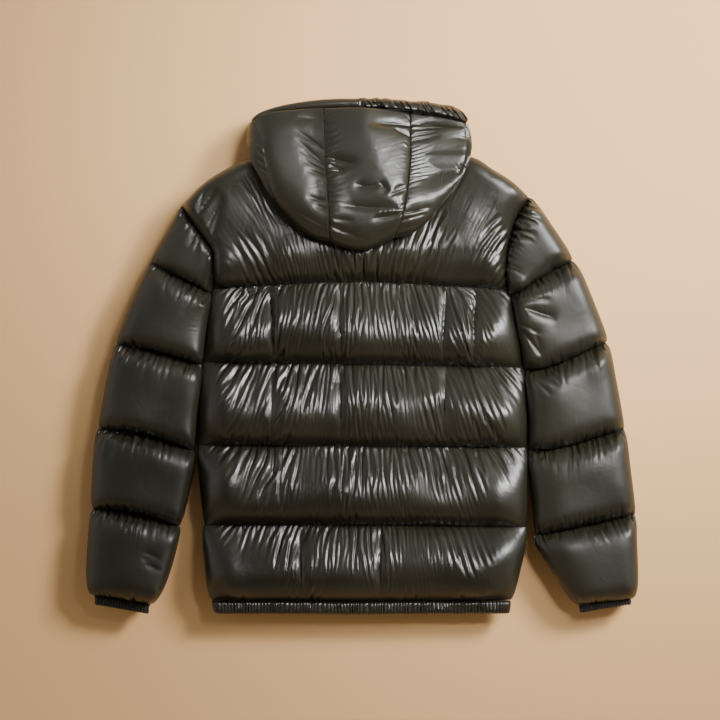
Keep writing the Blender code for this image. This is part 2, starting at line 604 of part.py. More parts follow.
def build_hood():
    across, down = hood_across_steps, hood_down_steps
    half = side_gap / 2
    left_seam = smooth_line(left_hood_seam, down)
    right_seam = smooth_line(right_hood_seam, down)
    build_hood_panel("hood_left", smooth_line([left_hood_side[0]] + rim_seam[1:4], across) - (half, 0),
                     smooth_line(left_crown, across) - (half, 0),
                     smooth_line(left_hood_side, down) - (half, 0), left_seam - (half, 0), False, True)
    build_hood_panel("hood_centre", smooth_line(rim_seam[3:6], across), smooth_line(centre_crown, across),
                     left_seam, right_seam, True, True)
    build_hood_panel("hood_right", smooth_line(rim_seam[5:7] + [right_hood_side[0]], across) + (side_gap, 0),
                     smooth_line(right_crown, across) + (side_gap, 0), right_seam + (side_gap, 0),
                     smooth_line(right_hood_side, down) + (side_gap, 0), True, False)
    steps = np.linspace(0, 1, 31)
    top = smooth_line(rim_edge, steps)
    bottom = smooth_line(rim_seam, steps) + (0, rim_seam_gap)
    left = smooth_line([top[0], bottom[0]], band_steps)
    right = smooth_line([top[-1], bottom[-1]], band_steps)
    panel = Panel([top, bottom], [left], [right], steps, band_steps)
    height = rim_loft * rounded(panel.seam_distance, panel.half_row)
    height *= np.minimum(1, panel.half_row / rim_full_half_width)
    outer = inner_plane + piece_gap + seam_wall + height
    grid_solid("hood_rim", panel.plan, outer, inner_plane + piece_gap, nylon)


def build_zip():
    tape_low, tape_high = 0.0324, 0.0336
    chain_low, chain_high = 0.0316, 0.0342
    box("zip_tape_left", (-tape_outer, zip_bottom, tape_low), (-tape_inner, tape_top, tape_high), tape)
    box("zip_tape_right", (tape_inner, zip_bottom, tape_low), (tape_outer, tape_top, tape_high), tape)
    box("zip_chain", (-chain_half, zip_bottom, chain_low), (chain_half, zip_top, chain_high), metal)
    plate_half, post_half, crown_half = 0.0052, 0.0014, 0.0011
    face_low, face_high, rear_low, rear_high = 0.0299, 0.0313, 0.0345, 0.0357
    crown_low, crown_high = 0.0252, 0.0264
    ends = (0.3360, 0.3505)
    post = (0.3463, 0.3493)
    legs = ((0.3375, 0.3389), (0.3463, 0.3477))

    def in_slider(x, y, z):
        if z > rear_low or face_low < z < face_high:
            return True
        if z > face_high:
            return abs(x) < post_half and post[0] < y < post[1]
        if abs(x) > crown_half or not legs[0][0] < y < legs[1][1]:
            return False
        return z < crown_high or any(low < y < high for low, high in legs)

    lattice_solid("zip_slider", (-plate_half, -post_half, -crown_half, crown_half, post_half, plate_half),
                  sorted({*ends, *post, *legs[0], *legs[1]}),
                  (crown_low, crown_high, face_low, face_high, rear_low, rear_high), in_slider, metal)

    # The pull hangs from a bar under the slider's crown. Its own origin is on that bar's axis.
    axis_y, axis_z = 0.3426, 0.0279
    pull_half, window_half, half_thick = 0.0032, 0.0019, 0.0007
    above, window_top, window_bottom, tip = 0.0007, -0.0007, -0.0063, -0.0193
    pull = lattice_solid("zip_pull", (-pull_half, -window_half, window_half, pull_half),
                         (-half_thick, half_thick), (tip, window_bottom, window_top, above),
                         lambda x, y, z: not (abs(x) < window_half and window_bottom < z < window_top), metal)
    pull.location = (0, axis_y, axis_z)


def centre_on_origin():
    """Move the jacket's empty so that the middle of its outline is over the origin."""
    bpy.context.view_layer.update()
    corners = np.array([piece.matrix_world @ vertex.co for piece in jacket.children
                        for vertex in piece.data.vertices])
    middle = (corners.min(0) + corners.max(0)) / 2
    jacket.location = (-middle[0], -middle[1], 0)


for old in list(bpy.data.objects):
    bpy.data.objects.remove(old)

jacket = bpy.data.objects.new("jacket", None)
bpy.context.scene.collection.objects.link(jacket)
nylon = material("olive_nylon", (0.030, 0.029, 0.022), 0.28)
elastic = material("black_elastic", (0.012, 0.013, 0.011), 0.85)
tape = material("zip_tape", (0.015, 0.015, 0.012), 0.80)
metal = material("dark_metal", (0.10, 0.10, 0.09), 0.35, 1.0)

build_back()
build_neck("left", build_front("left"))
build_neck("right", build_front("right"))
for layer in ("upper", "under"):
    build_sleeve("left", left_sleeve_seams, left_sleeve_swells, layer, row_steps)
    build_sleeve("right", right_sleeve_seams, right_sleeve_swells, layer, row_steps)
build_cuff("left", left_sleeve_seams[-1], left_cuff_edge)
build_cuff("right", right_sleeve_seams[-1], right_cuff_edge)
build_hem()
build_hood()
build_zip()
centre_on_origin()
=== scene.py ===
import math
import time

import bmesh
import bpy
import numpy as np
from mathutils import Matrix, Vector


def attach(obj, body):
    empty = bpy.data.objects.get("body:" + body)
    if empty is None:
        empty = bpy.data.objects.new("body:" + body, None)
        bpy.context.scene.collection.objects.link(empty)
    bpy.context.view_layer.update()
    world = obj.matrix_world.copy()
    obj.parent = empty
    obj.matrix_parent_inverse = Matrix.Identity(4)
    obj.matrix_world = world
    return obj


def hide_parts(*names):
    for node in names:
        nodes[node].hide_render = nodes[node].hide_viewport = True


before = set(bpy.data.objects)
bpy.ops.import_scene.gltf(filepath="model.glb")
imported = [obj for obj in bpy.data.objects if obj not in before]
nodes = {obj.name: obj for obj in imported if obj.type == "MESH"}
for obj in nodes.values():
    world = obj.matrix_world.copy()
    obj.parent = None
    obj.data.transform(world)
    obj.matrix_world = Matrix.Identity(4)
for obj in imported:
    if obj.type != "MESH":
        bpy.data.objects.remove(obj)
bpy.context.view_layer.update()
startTime = time.time()


def say(stage):
    print(f"{stage} ({time.time() - startTime:.1f} s)")


# sizes in metres: X runs across the back, Y from hem to hood, and heights are above the inside plane
garment = {
    "innerPlane": 0.0360,  # the fronts end here and the back lies on them
    "pieceGap": 0.0003,
    "sideGap": 0.0008,
    "thinnest": 0.0002,  # a padded piece at its seams
    "shiftX": -0.00055,  # brings the middle of the whole outline to zero
    "shiftY": 0.00068,
    "cell": 0.0022,
}

bodySeams = [  # left x, y, middle x, y, right x, y
    (-0.2325, 0.1060, 0.0000, 0.1160, 0.2315, 0.1040),
    (-0.2480, -0.0100, 0.0000, -0.0120, 0.2540, -0.0170),
    (-0.2560, -0.1390, 0.0000, -0.1400, 0.2590, -0.1420),
    (-0.2440, -0.2630, 0.0000, -0.2630, 0.2570, -0.2660),
    (-0.2325, -0.3800, 0.0000, -0.3812, 0.2320, -0.3800),
]
bodySwells = [  # left upper, left lower, right upper, right lower
    (0.0010, 0.0010, 0.0010, 0.0010),
    (0.0012, 0.0012, 0.0012, 0.0012),
    (0.0020, 0.0025, 0.0010, 0.0005),
    (0.0065, 0.0075, 0.0050, 0.0060),
]
hemEdge = (-0.2280, -0.4010, 0.0000, -0.4025, 0.2300, -0.4010)
backTop = [(-0.280, 0.235), (-0.253, 0.264), (-0.224, 0.285), (-0.175, 0.308), (-0.100, 0.3205), (0.000, 0.3225),
           (0.100, 0.3215), (0.171, 0.312), (0.206, 0.292), (0.236, 0.272), (0.261, 0.248)]
leftArmhole = [(-0.280, 0.235), (-0.266, 0.212), (-0.249, 0.188), (-0.234, 0.166), (-0.232, 0.144), (-0.2325, 0.106)]
rightArmhole = [(0.261, 0.248), (0.246, 0.225), (0.234, 0.195), (0.228, 0.163), (0.2265, 0.137), (0.2315, 0.104)]
zipHalf = 0.0083
leftFrontTop = backTop[:4] + [(-0.120, 0.3170), (-0.085, 0.2950), (-0.045, 0.2700), (-zipHalf, 0.2620)]
rightFrontTop = [(zipHalf, 0.2620), (0.045, 0.2700), (0.085, 0.2950), (0.120, 0.3180)] + backTop[7:]
leftSleeveSeams = [
    (-0.3284, 0.1459, -0.2800, 0.1205, -0.2352, 0.0985),
    (-0.3800, 0.0190, -0.3150, 0.0050, -0.2502, -0.0135),
    (-0.4090, -0.1130, -0.3370, -0.1240, -0.2625, -0.1480),
    (-0.4170, -0.2370, -0.3500, -0.2460, -0.2855, -0.2650),
    (-0.4180, -0.3725, -0.3740, -0.3795, -0.3300, -0.3865),
]
leftSleeveSwells = [
    (0.0010, 0.0030, 0.0000, 0.0000),
    (0.0050, 0.0070, 0.0000, 0.0000),
    (0.0080, 0.0040, 0.0000, 0.0000),
    (0.0070, 0.0080, 0.0035, 0.0015),
    (0.0080, 0.0150, 0.0050, 0.0120),
]
rightSleeveSeams = [
    (0.2347, 0.0955, 0.2830, 0.1255, 0.3270, 0.1495),
    (0.2563, -0.0220, 0.3000, -0.0145, 0.3800, 0.0220),
    (0.2620, -0.1480, 0.3180, -0.1415, 0.4090, -0.1135),
    (0.2720, -0.2800, 0.3450, -0.2655, 0.4260, -0.2470),
    (0.3385, -0.3880, 0.3800, -0.3835, 0.4210, -0.3780),
]
rightSleeveSwells = [
    (0.0000, 0.0000, 0.0070, 0.0070),
    (0.0000, 0.0000, 0.0080, 0.0085),
    (0.0000, 0.0000, 0.0060, 0.0030),
    (0.0000, 0.0000, 0.0025, 0.0030),
    (0.0110, 0.0080, 0.0020, 0.0120),
]
sleeveRowsOnBody = {"left": 2, "right": 3}
rowShape = {"fullHalf": 0.055, "shortPower": 0.6, "tightEdge": 0.020}  # shorter rows rise less


# lines and grids in plan
def smoothLine(points, fractions):
    knots = np.array(points, float)
    if len(knots) == 2:
        return np.outer(1 - fractions, knots[0]) + np.outer(fractions, knots[1])
    ends = np.vstack([2 * knots[0] - knots[1], knots, 2 * knots[-1] - knots[-2]])
    t = np.linspace(0, 1, 40, endpoint=False)[:, None]
    dense = [0.5 * (2 * b + (c - a) * t + (2 * a - 5 * b + 4 * c - d) * t ** 2 + (3 * b - a - 3 * c + d) * t ** 3)
             for a, b, c, d in zip(ends, ends[1:], ends[2:], ends[3:])]
    dense = np.vstack(dense + [knots[-1:]])
    length = np.concatenate([[0], np.cumsum(np.linalg.norm(np.diff(dense, axis=0), axis=1))])
    return np.column_stack([np.interp(fractions * length[-1], length, dense[:, axis]) for axis in (0, 1)])


def seamLine(seam, fractions):
    return smoothLine([seam[0:2], seam[2:4], seam[4:6]], fractions)


def rounded(distance, radius, fullness=2.3):  # 0 at an edge, 1 from the radius inwards
    reach = np.clip(1 - distance / radius, 0, 1)
    return (1 - reach ** fullness) ** (1 / fullness)


def domed(share, power=2.3):  # a crown that starts at a slant, as a row does beside its stitches
    return 1 - (1 - np.clip(share, 0, 1)) ** power


def evenSteps(length, leftReach, rightReach, height, cell):  # even along the curved cloth, always an even count
    dense = np.linspace(0, 1, 2001)
    profile = height * rounded(dense * length, leftReach) * rounded((1 - dense) * length, rightReach)
    travelled = np.concatenate([[0], np.cumsum(np.hypot(np.diff(dense) * length, np.diff(profile)))])
    count = 2 * max(3, int(round(travelled[-1] / cell / 2)))
    return np.interp(np.linspace(0, travelled[-1], count + 1), travelled, dense)


def swollenEdge(start, end, upper, lower, outward, fractions):
    edge = np.outer(1 - fractions, start) + np.outer(fractions, end)
    swell = (upper * (1 - fractions) + lower * fractions) * rounded(np.minimum(fractions, 1 - fractions), 0.5, 2.6)
    edge[:, 0] += outward * swell
    return edge


def followedEdge(neighbour, start, end, fractions):
    parting = (fractions ** 1.5)[:, None]
    return neighbour + (1 - parting) * (start - neighbour[0]) + parting * (end - neighbour[-1])


def patch(top, bottom, left, right, across, down):
    s, t = across[None, :, None], down[:, None, None]
    corners = (1 - t) * ((1 - s) * top[0] + s * top[-1]) + t * ((1 - s) * bottom[0] + s * bottom[-1])
    return (1 - t) * top[None] + t * bottom[None] + (1 - s) * left[:, None] + s * right[:, None] - corners


def rowSteps(length, height, cell):  # even steps down a row that is round at both ends
    return evenSteps(length, length / 2, length / 2, height, cell)


def lineDistance(line, x, y):  # in plan, to a line of points
    position = np.stack([x, y], axis=-1)[..., None, :]
    start, along = line[:-1], np.diff(line, axis=0)
    part = np.clip(((position - start) * along).sum(-1) / (along ** 2).sum(-1), 0, 1)
    return np.linalg.norm(position - start - part[..., None] * along, axis=-1).min(-1)


class Panel:  # a grid in plan, in rows from seam to seam
    def __init__(self, rails, lefts, rights, across, downs):
        plans, distances, halves, rows, self.seamRows, phases = [], [], [], [], [0], []
        for row, (left, right, down) in enumerate(zip(lefts, rights, downs)):
            plan = patch(rails[row], rails[row + 1], left, right, across, down)
            length = np.linalg.norm(rails[row + 1] - rails[row], axis=1)[None, :]
            kept = slice(0 if row == 0 else 1, None)
            plans.append(plan[kept])
            distances.append((np.minimum(down, 1 - down)[:, None] * length)[kept])
            halves.append(np.repeat(length / 2, len(down), axis=0)[kept])
            rows.append(np.full(plan.shape[:2], row)[kept])
            phases.append(np.repeat(down[:, None], len(across), axis=1)[kept])
            self.seamRows.append(self.seamRows[-1] + len(down) - 1)
        self.plan = np.concatenate(plans)
        self.seamDistance = np.concatenate(distances)
        self.halfRow = np.concatenate(halves)
        self.row = np.concatenate(rows)
        self.phase = np.concatenate(phases)
        width = np.linalg.norm(self.plan[:, -1] - self.plan[:, 0], axis=1)[:, None]
        self.fromLeft = across[None, :] * width
        self.fromRight = (1 - across)[None, :] * width
        self.x, self.y = self.plan[..., 0], self.plan[..., 1]

    # crest: where in a row the filling has settled; plateau: the share of a row that rises and falls
    def loft(self, height, leftFlank, rightFlank, crest=0.5, plateau=1.0, flankPower=2.0, tight=False):
        settled = self.phase ** (math.log(0.5) / np.log(crest))
        upper, lower = domed(settled * 2 / plateau), domed((1 - settled) * 2 / plateau)
        upper = np.where(tight, rounded(self.phase * self.halfRow * 2, rowShape["tightEdge"]), upper)
        short = np.minimum(1, (self.halfRow / rowShape["fullHalf"]) ** rowShape["shortPower"])
        rows = np.minimum(upper, lower) * short
        sides = rounded(self.fromLeft, leftFlank, flankPower) * rounded(self.fromRight, rightFlank, flankPower)
        return height * rows * sides

    def fromSeams(self):  # distance down from the seam above, and up from the seam below
        return self.phase * self.halfRow * 2, (1 - self.phase) * self.halfRow * 2


cloth = {
    "push": 0.000002, "pull": 0.001, "stretch": 0.95, "squeeze": 0.8, "bias": 0.35, "keep": 0.92,
    "creaseHold": 0.10, "creaseDepth": 0.0035,
    "levels": [  # from a coarse grid to a fine one
        {"step": 2, "rounds": 120, "bend": 0.02, "seedHeight": 0.030, "across": 0.0060, "along": 0.050},
        {"step": 1, "rounds": 170, "bend": 0.015, "seedHeight": 0.012, "across": 0.0028, "along": 0.030},
    ],
    "levelsRim": [
        {"step": 2, "rounds": 100, "bend": 0.01, "seedHeight": 0.014, "across": 0.0044, "along": 0.010},
        {"step": 1, "rounds": 100, "bend": 0.01, "seedHeight": 0.006, "across": 0.0022, "along": 0.006},
    ],
    "levelsFine": [
        {"step": 2, "rounds": 100, "bend": 0.03, "seedHeight": 0.004, "across": 0.0040, "along": 0.030},
        {"step": 1, "rounds": 100, "bend": 0.03, "seedHeight": 0.002, "across": 0.0020, "along": 0.015},
    ],
}


def heldDown(relief):  # the firm hold in the bottom of each crease
    return cloth["creaseHold"] * np.clip(relief / cloth["creaseDepth"], 0, 1) ** 2


def creaseRelief(creases, x, y, late=False):  # start x, y, reach x, y, width on the left, on the right, depth
    relief = np.zeros_like(x)
    for startX, startY, reachX, reachY, left, right, depth in creases:
        reach = math.hypot(reachX, reachY)
        along = ((x - startX) * reachX + (y - startY) * reachY) / reach ** 2
        across = ((x - startX) * reachY - (y - startY) * reachX) / reach
        width = np.where(across > 0, right, left)
        along = np.clip(along, 0, 1)
        taper = (6.75 * along ** 2 if late else 4 * along) * (1 - along)  # 1 at its deepest
        relief = np.maximum(relief, depth * taper * np.exp(-np.abs(across / width)))
    return relief


def valueNoise(s, t, seed, size=512):  # smooth, and the same each time for a seed
    table = np.random.default_rng(seed).standard_normal((size, size)).astype(np.float32)
    i, j = np.floor(s).astype(int), np.floor(t).astype(int)
    u, v = s - i, t - j
    u, v = u * u * (3 - 2 * u), v * v * (3 - 2 * v)

    def corner(a, b):
        return table[(i + a) % size, (j + b) % size]
    return (1 - u) * ((1 - v) * corner(0, 0) + v * corner(0, 1)) + u * ((1 - v) * corner(1, 0) + v * corner(1, 1))


# the cloth is a grid of points that keeps its cut lengths while the filling presses it out
def edgeSets(shape):  # pairs of points that can move at the same time
    r, c = shape
    every = slice(None)
    found = []
    for k in (0, 1):
        found.append(("weave", (every, slice(k, c - 1, 2)), (every, slice(k + 1, c, 2))))
        found.append(("weave", (slice(k, r - 1, 2), every), (slice(k + 1, r, 2), every)))
    for k in (0, 1):
        found.append(("bias", (slice(k, r - 1, 2), slice(0, c - 1)), (slice(k + 1, r, 2), slice(1, c))))
        found.append(("bias", (slice(k, r - 1, 2), slice(1, c)), (slice(k + 1, r, 2), slice(0, c - 1))))
    for k in range(4):
        found.append(("bend", (every, slice(k, c - 2, 4)), (every, slice(k + 2, c, 4))))
        found.append(("bend", (slice(k, r - 2, 4), every), (slice(k + 2, r, 4), every)))
    return found


def settle(place, cut, held, low, high, level, aim, firm):  # rounds of small moves until the cut lengths are kept
    shape = place.shape[:2]
    free = (~held).astype(np.float32)
    jobs = []
    for kind, a, b in edgeSets(shape):
        wa, wb = free[a], free[b]
        if wa.size == 0 or wb.size == 0:
            continue
        total = np.maximum(wa + wb, 1e-6)
        jobs.append((kind, a, b, cut(a, b), (wa / total)[..., None], (wb / total)[..., None]))
    place = place.astype(np.float32)
    before = place.copy()
    free3 = free[..., None]
    firmness = {"bias": cloth["bias"], "bend": level["bend"]}
    for _ in range(level["rounds"]):
        moved = (place - before) * cloth["keep"]
        before = place.copy()
        down = np.gradient(place, axis=0)
        right = np.gradient(place, axis=1)
        normal = np.cross(down, right)
        normal /= np.maximum(np.linalg.norm(normal, axis=2, keepdims=True), 1e-9)
        normal *= np.sign(normal[..., 2].sum())
        place = place + (moved + cloth["push"] * normal) * free3
        place[..., 2] += (cloth["pull"] + firm) * (aim - place[..., 2]) * free
        for kind, a, b, length, shareA, shareB in jobs:
            gap = place[b] - place[a]
            now = np.sqrt((gap * gap).sum(-1)) + 1e-9
            over = (now - length) / now
            over *= firmness[kind] if kind != "weave" else np.where(over > 0, cloth["stretch"], cloth["squeeze"])
            if kind == "bend":
                over = np.minimum(over, 0)
            step = gap * over[..., None]
            place[a] += step * shareA
            place[b] -= step * shareB
        place[..., 2] = np.clip(place[..., 2], low, high)
    return place


def cutLengths(target, gathers):  # the cloth is cut longer across its gathers than the shape that it covers
    normals = []
    plan = target[..., :2]
    for strength, lineAt in gathers:
        du, dv = np.gradient(lineAt, axis=0), np.gradient(lineAt, axis=1)
        pu, pv = np.gradient(plan, axis=0), np.gradient(plan, axis=1)
        det = pu[..., 0] * pv[..., 1] - pu[..., 1] * pv[..., 0]
        gx = (du * pv[..., 1] - dv * pu[..., 1]) / det
        gy = (dv * pu[..., 0] - du * pv[..., 0]) / det
        size = np.hypot(gx, gy) + 1e-9
        normals.append((strength, gx / size, gy / size))

    def cut(a, b):
        gap = target[b] - target[a]
        length = np.linalg.norm(gap, axis=-1)
        flat = np.linalg.norm(gap[..., :2], axis=-1) + 1e-9
        more = np.zeros_like(length)
        for strength, nx, ny in normals:
            turned = (gap[..., 0] * nx[a] + gap[..., 1] * ny[a]) / flat
            more += 0.5 * (strength[a] + strength[b]) * turned ** 2
        return (length * np.sqrt(1 + more)).astype(np.float32)
    return cut


def closedMesh(name, points, faces, material, sharpFrom):
    mesh = bpy.data.meshes.new(name)
    mesh.from_pydata(points, [], faces)
    shape = bmesh.new()
    shape.from_mesh(mesh)
    bmesh.ops.recalc_face_normals(shape, faces=shape.faces)
    shape.to_mesh(mesh)
    shape.free()
    mesh.shade_smooth()
    mesh.set_sharp_from_angle(angle=sharpFrom)
    mesh.materials.append(material)
    piece = bpy.data.objects.new(name, mesh)
    bpy.context.scene.collection.objects.link(piece)
    return piece


# under: a height, or a grid of its own; grain: across and along the gathers, and their strength
def shellMesh(name, top, under, material, grain=None):
    rows, columns = top.shape[:2]
    index = np.arange(rows * columns).reshape(rows, columns)
    rim = np.concatenate([index[0, :-1], index[:-1, -1], index[-1, :0:-1], index[:0:-1, 0]])
    quads = np.stack([index[:-1, :-1], index[1:, :-1], index[1:, 1:], index[:-1, 1:]], axis=-1).reshape(-1, 4)
    points = [top.reshape(-1, 3)]
    faces = quads.tolist()
    if np.ndim(under) == 0:
        ring = top.reshape(-1, 3)[rim].copy()
        ring[:, 2] = under
        points.append(ring)
        inside = rows * columns + np.arange(len(rim))
        faces.append(inside.tolist())
    else:
        points.append(under.reshape(-1, 3))
        inside = rim + rows * columns
        faces += (quads[:, ::-1] + rows * columns).tolist()
    for here in range(len(rim)):
        there = (here + 1) % len(rim)
        faces.append((int(rim[here]), int(rim[there]), int(inside[there]), int(inside[here])))
    piece = closedMesh(name, np.vstack(points).tolist(), faces, material, 1.2)
    if grain is not None:
        below = grain.reshape(-1, 3)[rim] if np.ndim(under) == 0 else grain.reshape(-1, 3)
        values = np.vstack([grain.reshape(-1, 3), below]).astype(np.float32)
        piece.data.attributes.new("grain", "FLOAT_VECTOR", "POINT").data.foreach_set("vector", values.ravel())
    return piece


def principled(name, colour, roughness, **more):
    made = bpy.data.materials.new(name)
    made.use_nodes = True
    shader = made.node_tree.nodes["Principled BSDF"]
    shader.inputs["Base Color"].default_value = (*colour, 1)
    shader.inputs["Roughness"].default_value = roughness
    for socket, value in more.items():
        shader.inputs[socket.replace("_", " ")].default_value = value
    return made


def addNode(tree, kind, inputs=None, **settings):
    node = tree.nodes.new(kind)
    for key, value in settings.items():
        setattr(node, key, value)
    for key, value in (inputs or {}).items():
        if isinstance(value, bpy.types.NodeSocket):
            tree.links.new(value, node.inputs[key])
        else:
            node.inputs[key].default_value = value
    return node


nylonFinish = {
    "dark": (0.0150, 0.0140, 0.0086), "light": (0.0235, 0.0214, 0.0130), "patch": 9.0, "shine": 0.57,
    "streakAcross": 260.0, "streakAlong": 14.0, "streakDepth": 0.0009,
    "crinkle": 34.0, "crinkleDepth": 0.00045, "weave": 2600.0, "weaveDepth": 0.00001,
}


def downproofNylon(name, smooth, gathered, streaks, crinkles):  # roughness where smooth, and in the gathers
    size = nylonFinish
    made = principled(name, size["dark"], smooth, Specular_IOR_Level=size["shine"])
    tree = made.node_tree
    shader = tree.nodes["Principled BSDF"]
    place = addNode(tree, "ShaderNodeTexCoord").outputs["Object"]
    patches = addNode(tree, "ShaderNodeTexNoise", {"Vector": place, "Scale": size["patch"], "Detail": 3.0})
    ramp = addNode(tree, "ShaderNodeValToRGB", {"Fac": patches.outputs["Fac"]})
    ramp.color_ramp.elements[0].position, ramp.color_ramp.elements[1].position = 0.35, 0.65
    ramp.color_ramp.elements[0].color, ramp.color_ramp.elements[1].color = (*size["dark"], 1), (*size["light"], 1)
    tree.links.new(ramp.outputs["Color"], shader.inputs["Base Color"])
    grain = addNode(tree, "ShaderNodeAttribute", attribute_name="grain").outputs["Vector"]
    parts = addNode(tree, "ShaderNodeSeparateXYZ", {0: grain})
    stretched = addNode(tree, "ShaderNodeVectorMath", {0: grain, 1: (size["streakAcross"], size["streakAlong"], 0.0)},
                        operation="MULTIPLY")
    streak = addNode(tree, "ShaderNodeTexNoise", {"Vector": stretched.outputs[0], "Scale": 1.0, "Detail": 1.2,
                                                  "Roughness": 0.5})
    amount = addNode(tree, "ShaderNodeMath", {0: parts.outputs["Z"], 1: 1.0}, operation="MULTIPLY", use_clamp=True)
    gloss = addNode(tree, "ShaderNodeMapRange", {"Value": parts.outputs["Z"], "From Min": 0.12, "From Max": 0.55,
                                                 "To Min": smooth, "To Max": gathered})
    tree.links.new(gloss.outputs[0], shader.inputs["Roughness"])
    first = addNode(tree, "ShaderNodeBump", {"Height": streak.outputs["Fac"], "Strength": amount.outputs[0],
                                             "Distance": size["streakDepth"] * streaks})
    crease = addNode(tree, "ShaderNodeTexNoise", {"Vector": place, "Scale": size["crinkle"], "Detail": 2.0,
                                                  "Roughness": 0.5, "Distortion": 0.6})
    fold = addNode(tree, "ShaderNodeMapRange", {"Value": crease.outputs["Fac"], "From Min": 0.35, "From Max": 0.65,
                                                "To Min": 0.0, "To Max": 1.0}, interpolation_type="SMOOTHSTEP")
    second = addNode(tree, "ShaderNodeBump", {"Height": fold.outputs[0], "Distance": size["crinkleDepth"] * crinkles,
                                              "Strength": 0.5, "Normal": first.outputs[0]})
    threads = addNode(tree, "ShaderNodeTexNoise", {"Vector": place, "Scale": size["weave"], "Detail": 1.0})
    third = addNode(tree, "ShaderNodeBump", {"Height": threads.outputs["Fac"], "Distance": size["weaveDepth"],
                                             "Strength": 0.6, "Normal": second.outputs[0]})
    tree.links.new(third.outputs[0], shader.inputs["Normal"])
    return made


nylon = downproofNylon("downproofNylon", 0.36, 0.29, 1.0, 1.0)
sleeveNylon = downproofNylon("sleeveNylon", 0.44, 0.28, 3.0, 0.8)


def knit(name, colour):
    made = principled(name, colour, 0.85, Sheen_Weight=0.12, Sheen_Roughness=0.5, Specular_IOR_Level=0.3)
    tree = made.node_tree
    place = addNode(tree, "ShaderNodeTexCoord").outputs["Object"]
    loops = addNode(tree, "ShaderNodeTexWave", {"Vector": place, "Scale": 160.0, "Distortion": 1.5, "Detail": 1.0},
                    bands_direction="Y")
    fuzz = addNode(tree, "ShaderNodeTexNoise", {"Vector": place, "Scale": 900.0, "Detail": 2.0})
    both = addNode(tree, "ShaderNodeMath", {0: loops.outputs["Fac"], 1: fuzz.outputs["Fac"]}, operation="ADD")
    bump = addNode(tree, "ShaderNodeBump", {"Height": both.outputs[0], "Distance": 0.0003, "Strength": 0.8})
    tree.links.new(bump.outputs[0], tree.nodes["Principled BSDF"].inputs["Normal"])
    return made


def wovenTape(name, colour):
    made = principled(name, colour, 0.75, Sheen_Weight=0.2, Specular_IOR_Level=0.35)
    tree = made.node_tree
    place = addNode(tree, "ShaderNodeTexCoord").outputs["Object"]
    warp, weft = [addNode(tree, "ShaderNodeTexWave", {"Vector": place, "Scale": 320.0}, bands_direction=axis)
                  for axis in ("DIAGONAL", "Y")]
    both = addNode(tree, "ShaderNodeMath", {0: warp.outputs["Fac"], 1: weft.outputs["Fac"]}, operation="MULTIPLY")
    bump = addNode(tree, "ShaderNodeBump", {"Height": both.outputs[0], "Distance": 0.0002, "Strength": 0.9})
    tree.links.new(bump.outputs[0], tree.nodes["Principled BSDF"].inputs["Normal"])
    shade = addNode(tree, "ShaderNodeValToRGB", {"Fac": both.outputs[0]})
    shade.color_ramp.elements[0].color = (*[0.6 * part for part in colour], 1)
    shade.color_ramp.elements[1].color = (*[1.3 * part for part in colour], 1)
    tree.links.new(shade.outputs["Color"], tree.nodes["Principled BSDF"].inputs["Base Color"])
    return made


def wornMetal(name, colour):
    made = principled(name, colour, 0.32, Metallic=1.0)
    tree = made.node_tree
    place = addNode(tree, "ShaderNodeTexCoord").outputs["Object"]
    stretched = addNode(tree, "ShaderNodeVectorMath", {0: place, 1: (900.0, 120.0, 900.0)}, operation="MULTIPLY")
    scratches = addNode(tree, "ShaderNodeTexNoise", {"Vector": stretched.outputs[0], "Scale": 1.0, "Detail": 3.0})
    worn = addNode(tree, "ShaderNodeMapRange", {"Value": scratches.outputs["Fac"], "From Min": 0.3, "From Max": 0.7,
                                                "To Min": 0.24, "To Max": 0.46})
    tree.links.new(worn.outputs[0], tree.nodes["Principled BSDF"].inputs["Roughness"])
    bump = addNode(tree, "ShaderNodeBump", {"Height": scratches.outputs["Fac"], "Distance": 0.00004, "Strength": 0.6})
    tree.links.new(bump.outputs[0], tree.nodes["Principled BSDF"].inputs["Normal"])
    return made


cuffKnit = knit("ribbedElastic", (0.021, 0.0205, 0.017))
tapeWeave = wovenTape("zipTapeWeave", (0.016, 0.016, 0.013))
zipMetal = wornMetal("agedZipMetal", (0.20, 0.195, 0.18))
threadFinish = principled("sewingThread", (0.030, 0.028, 0.021), 0.55, Sheen_Weight=0.2)


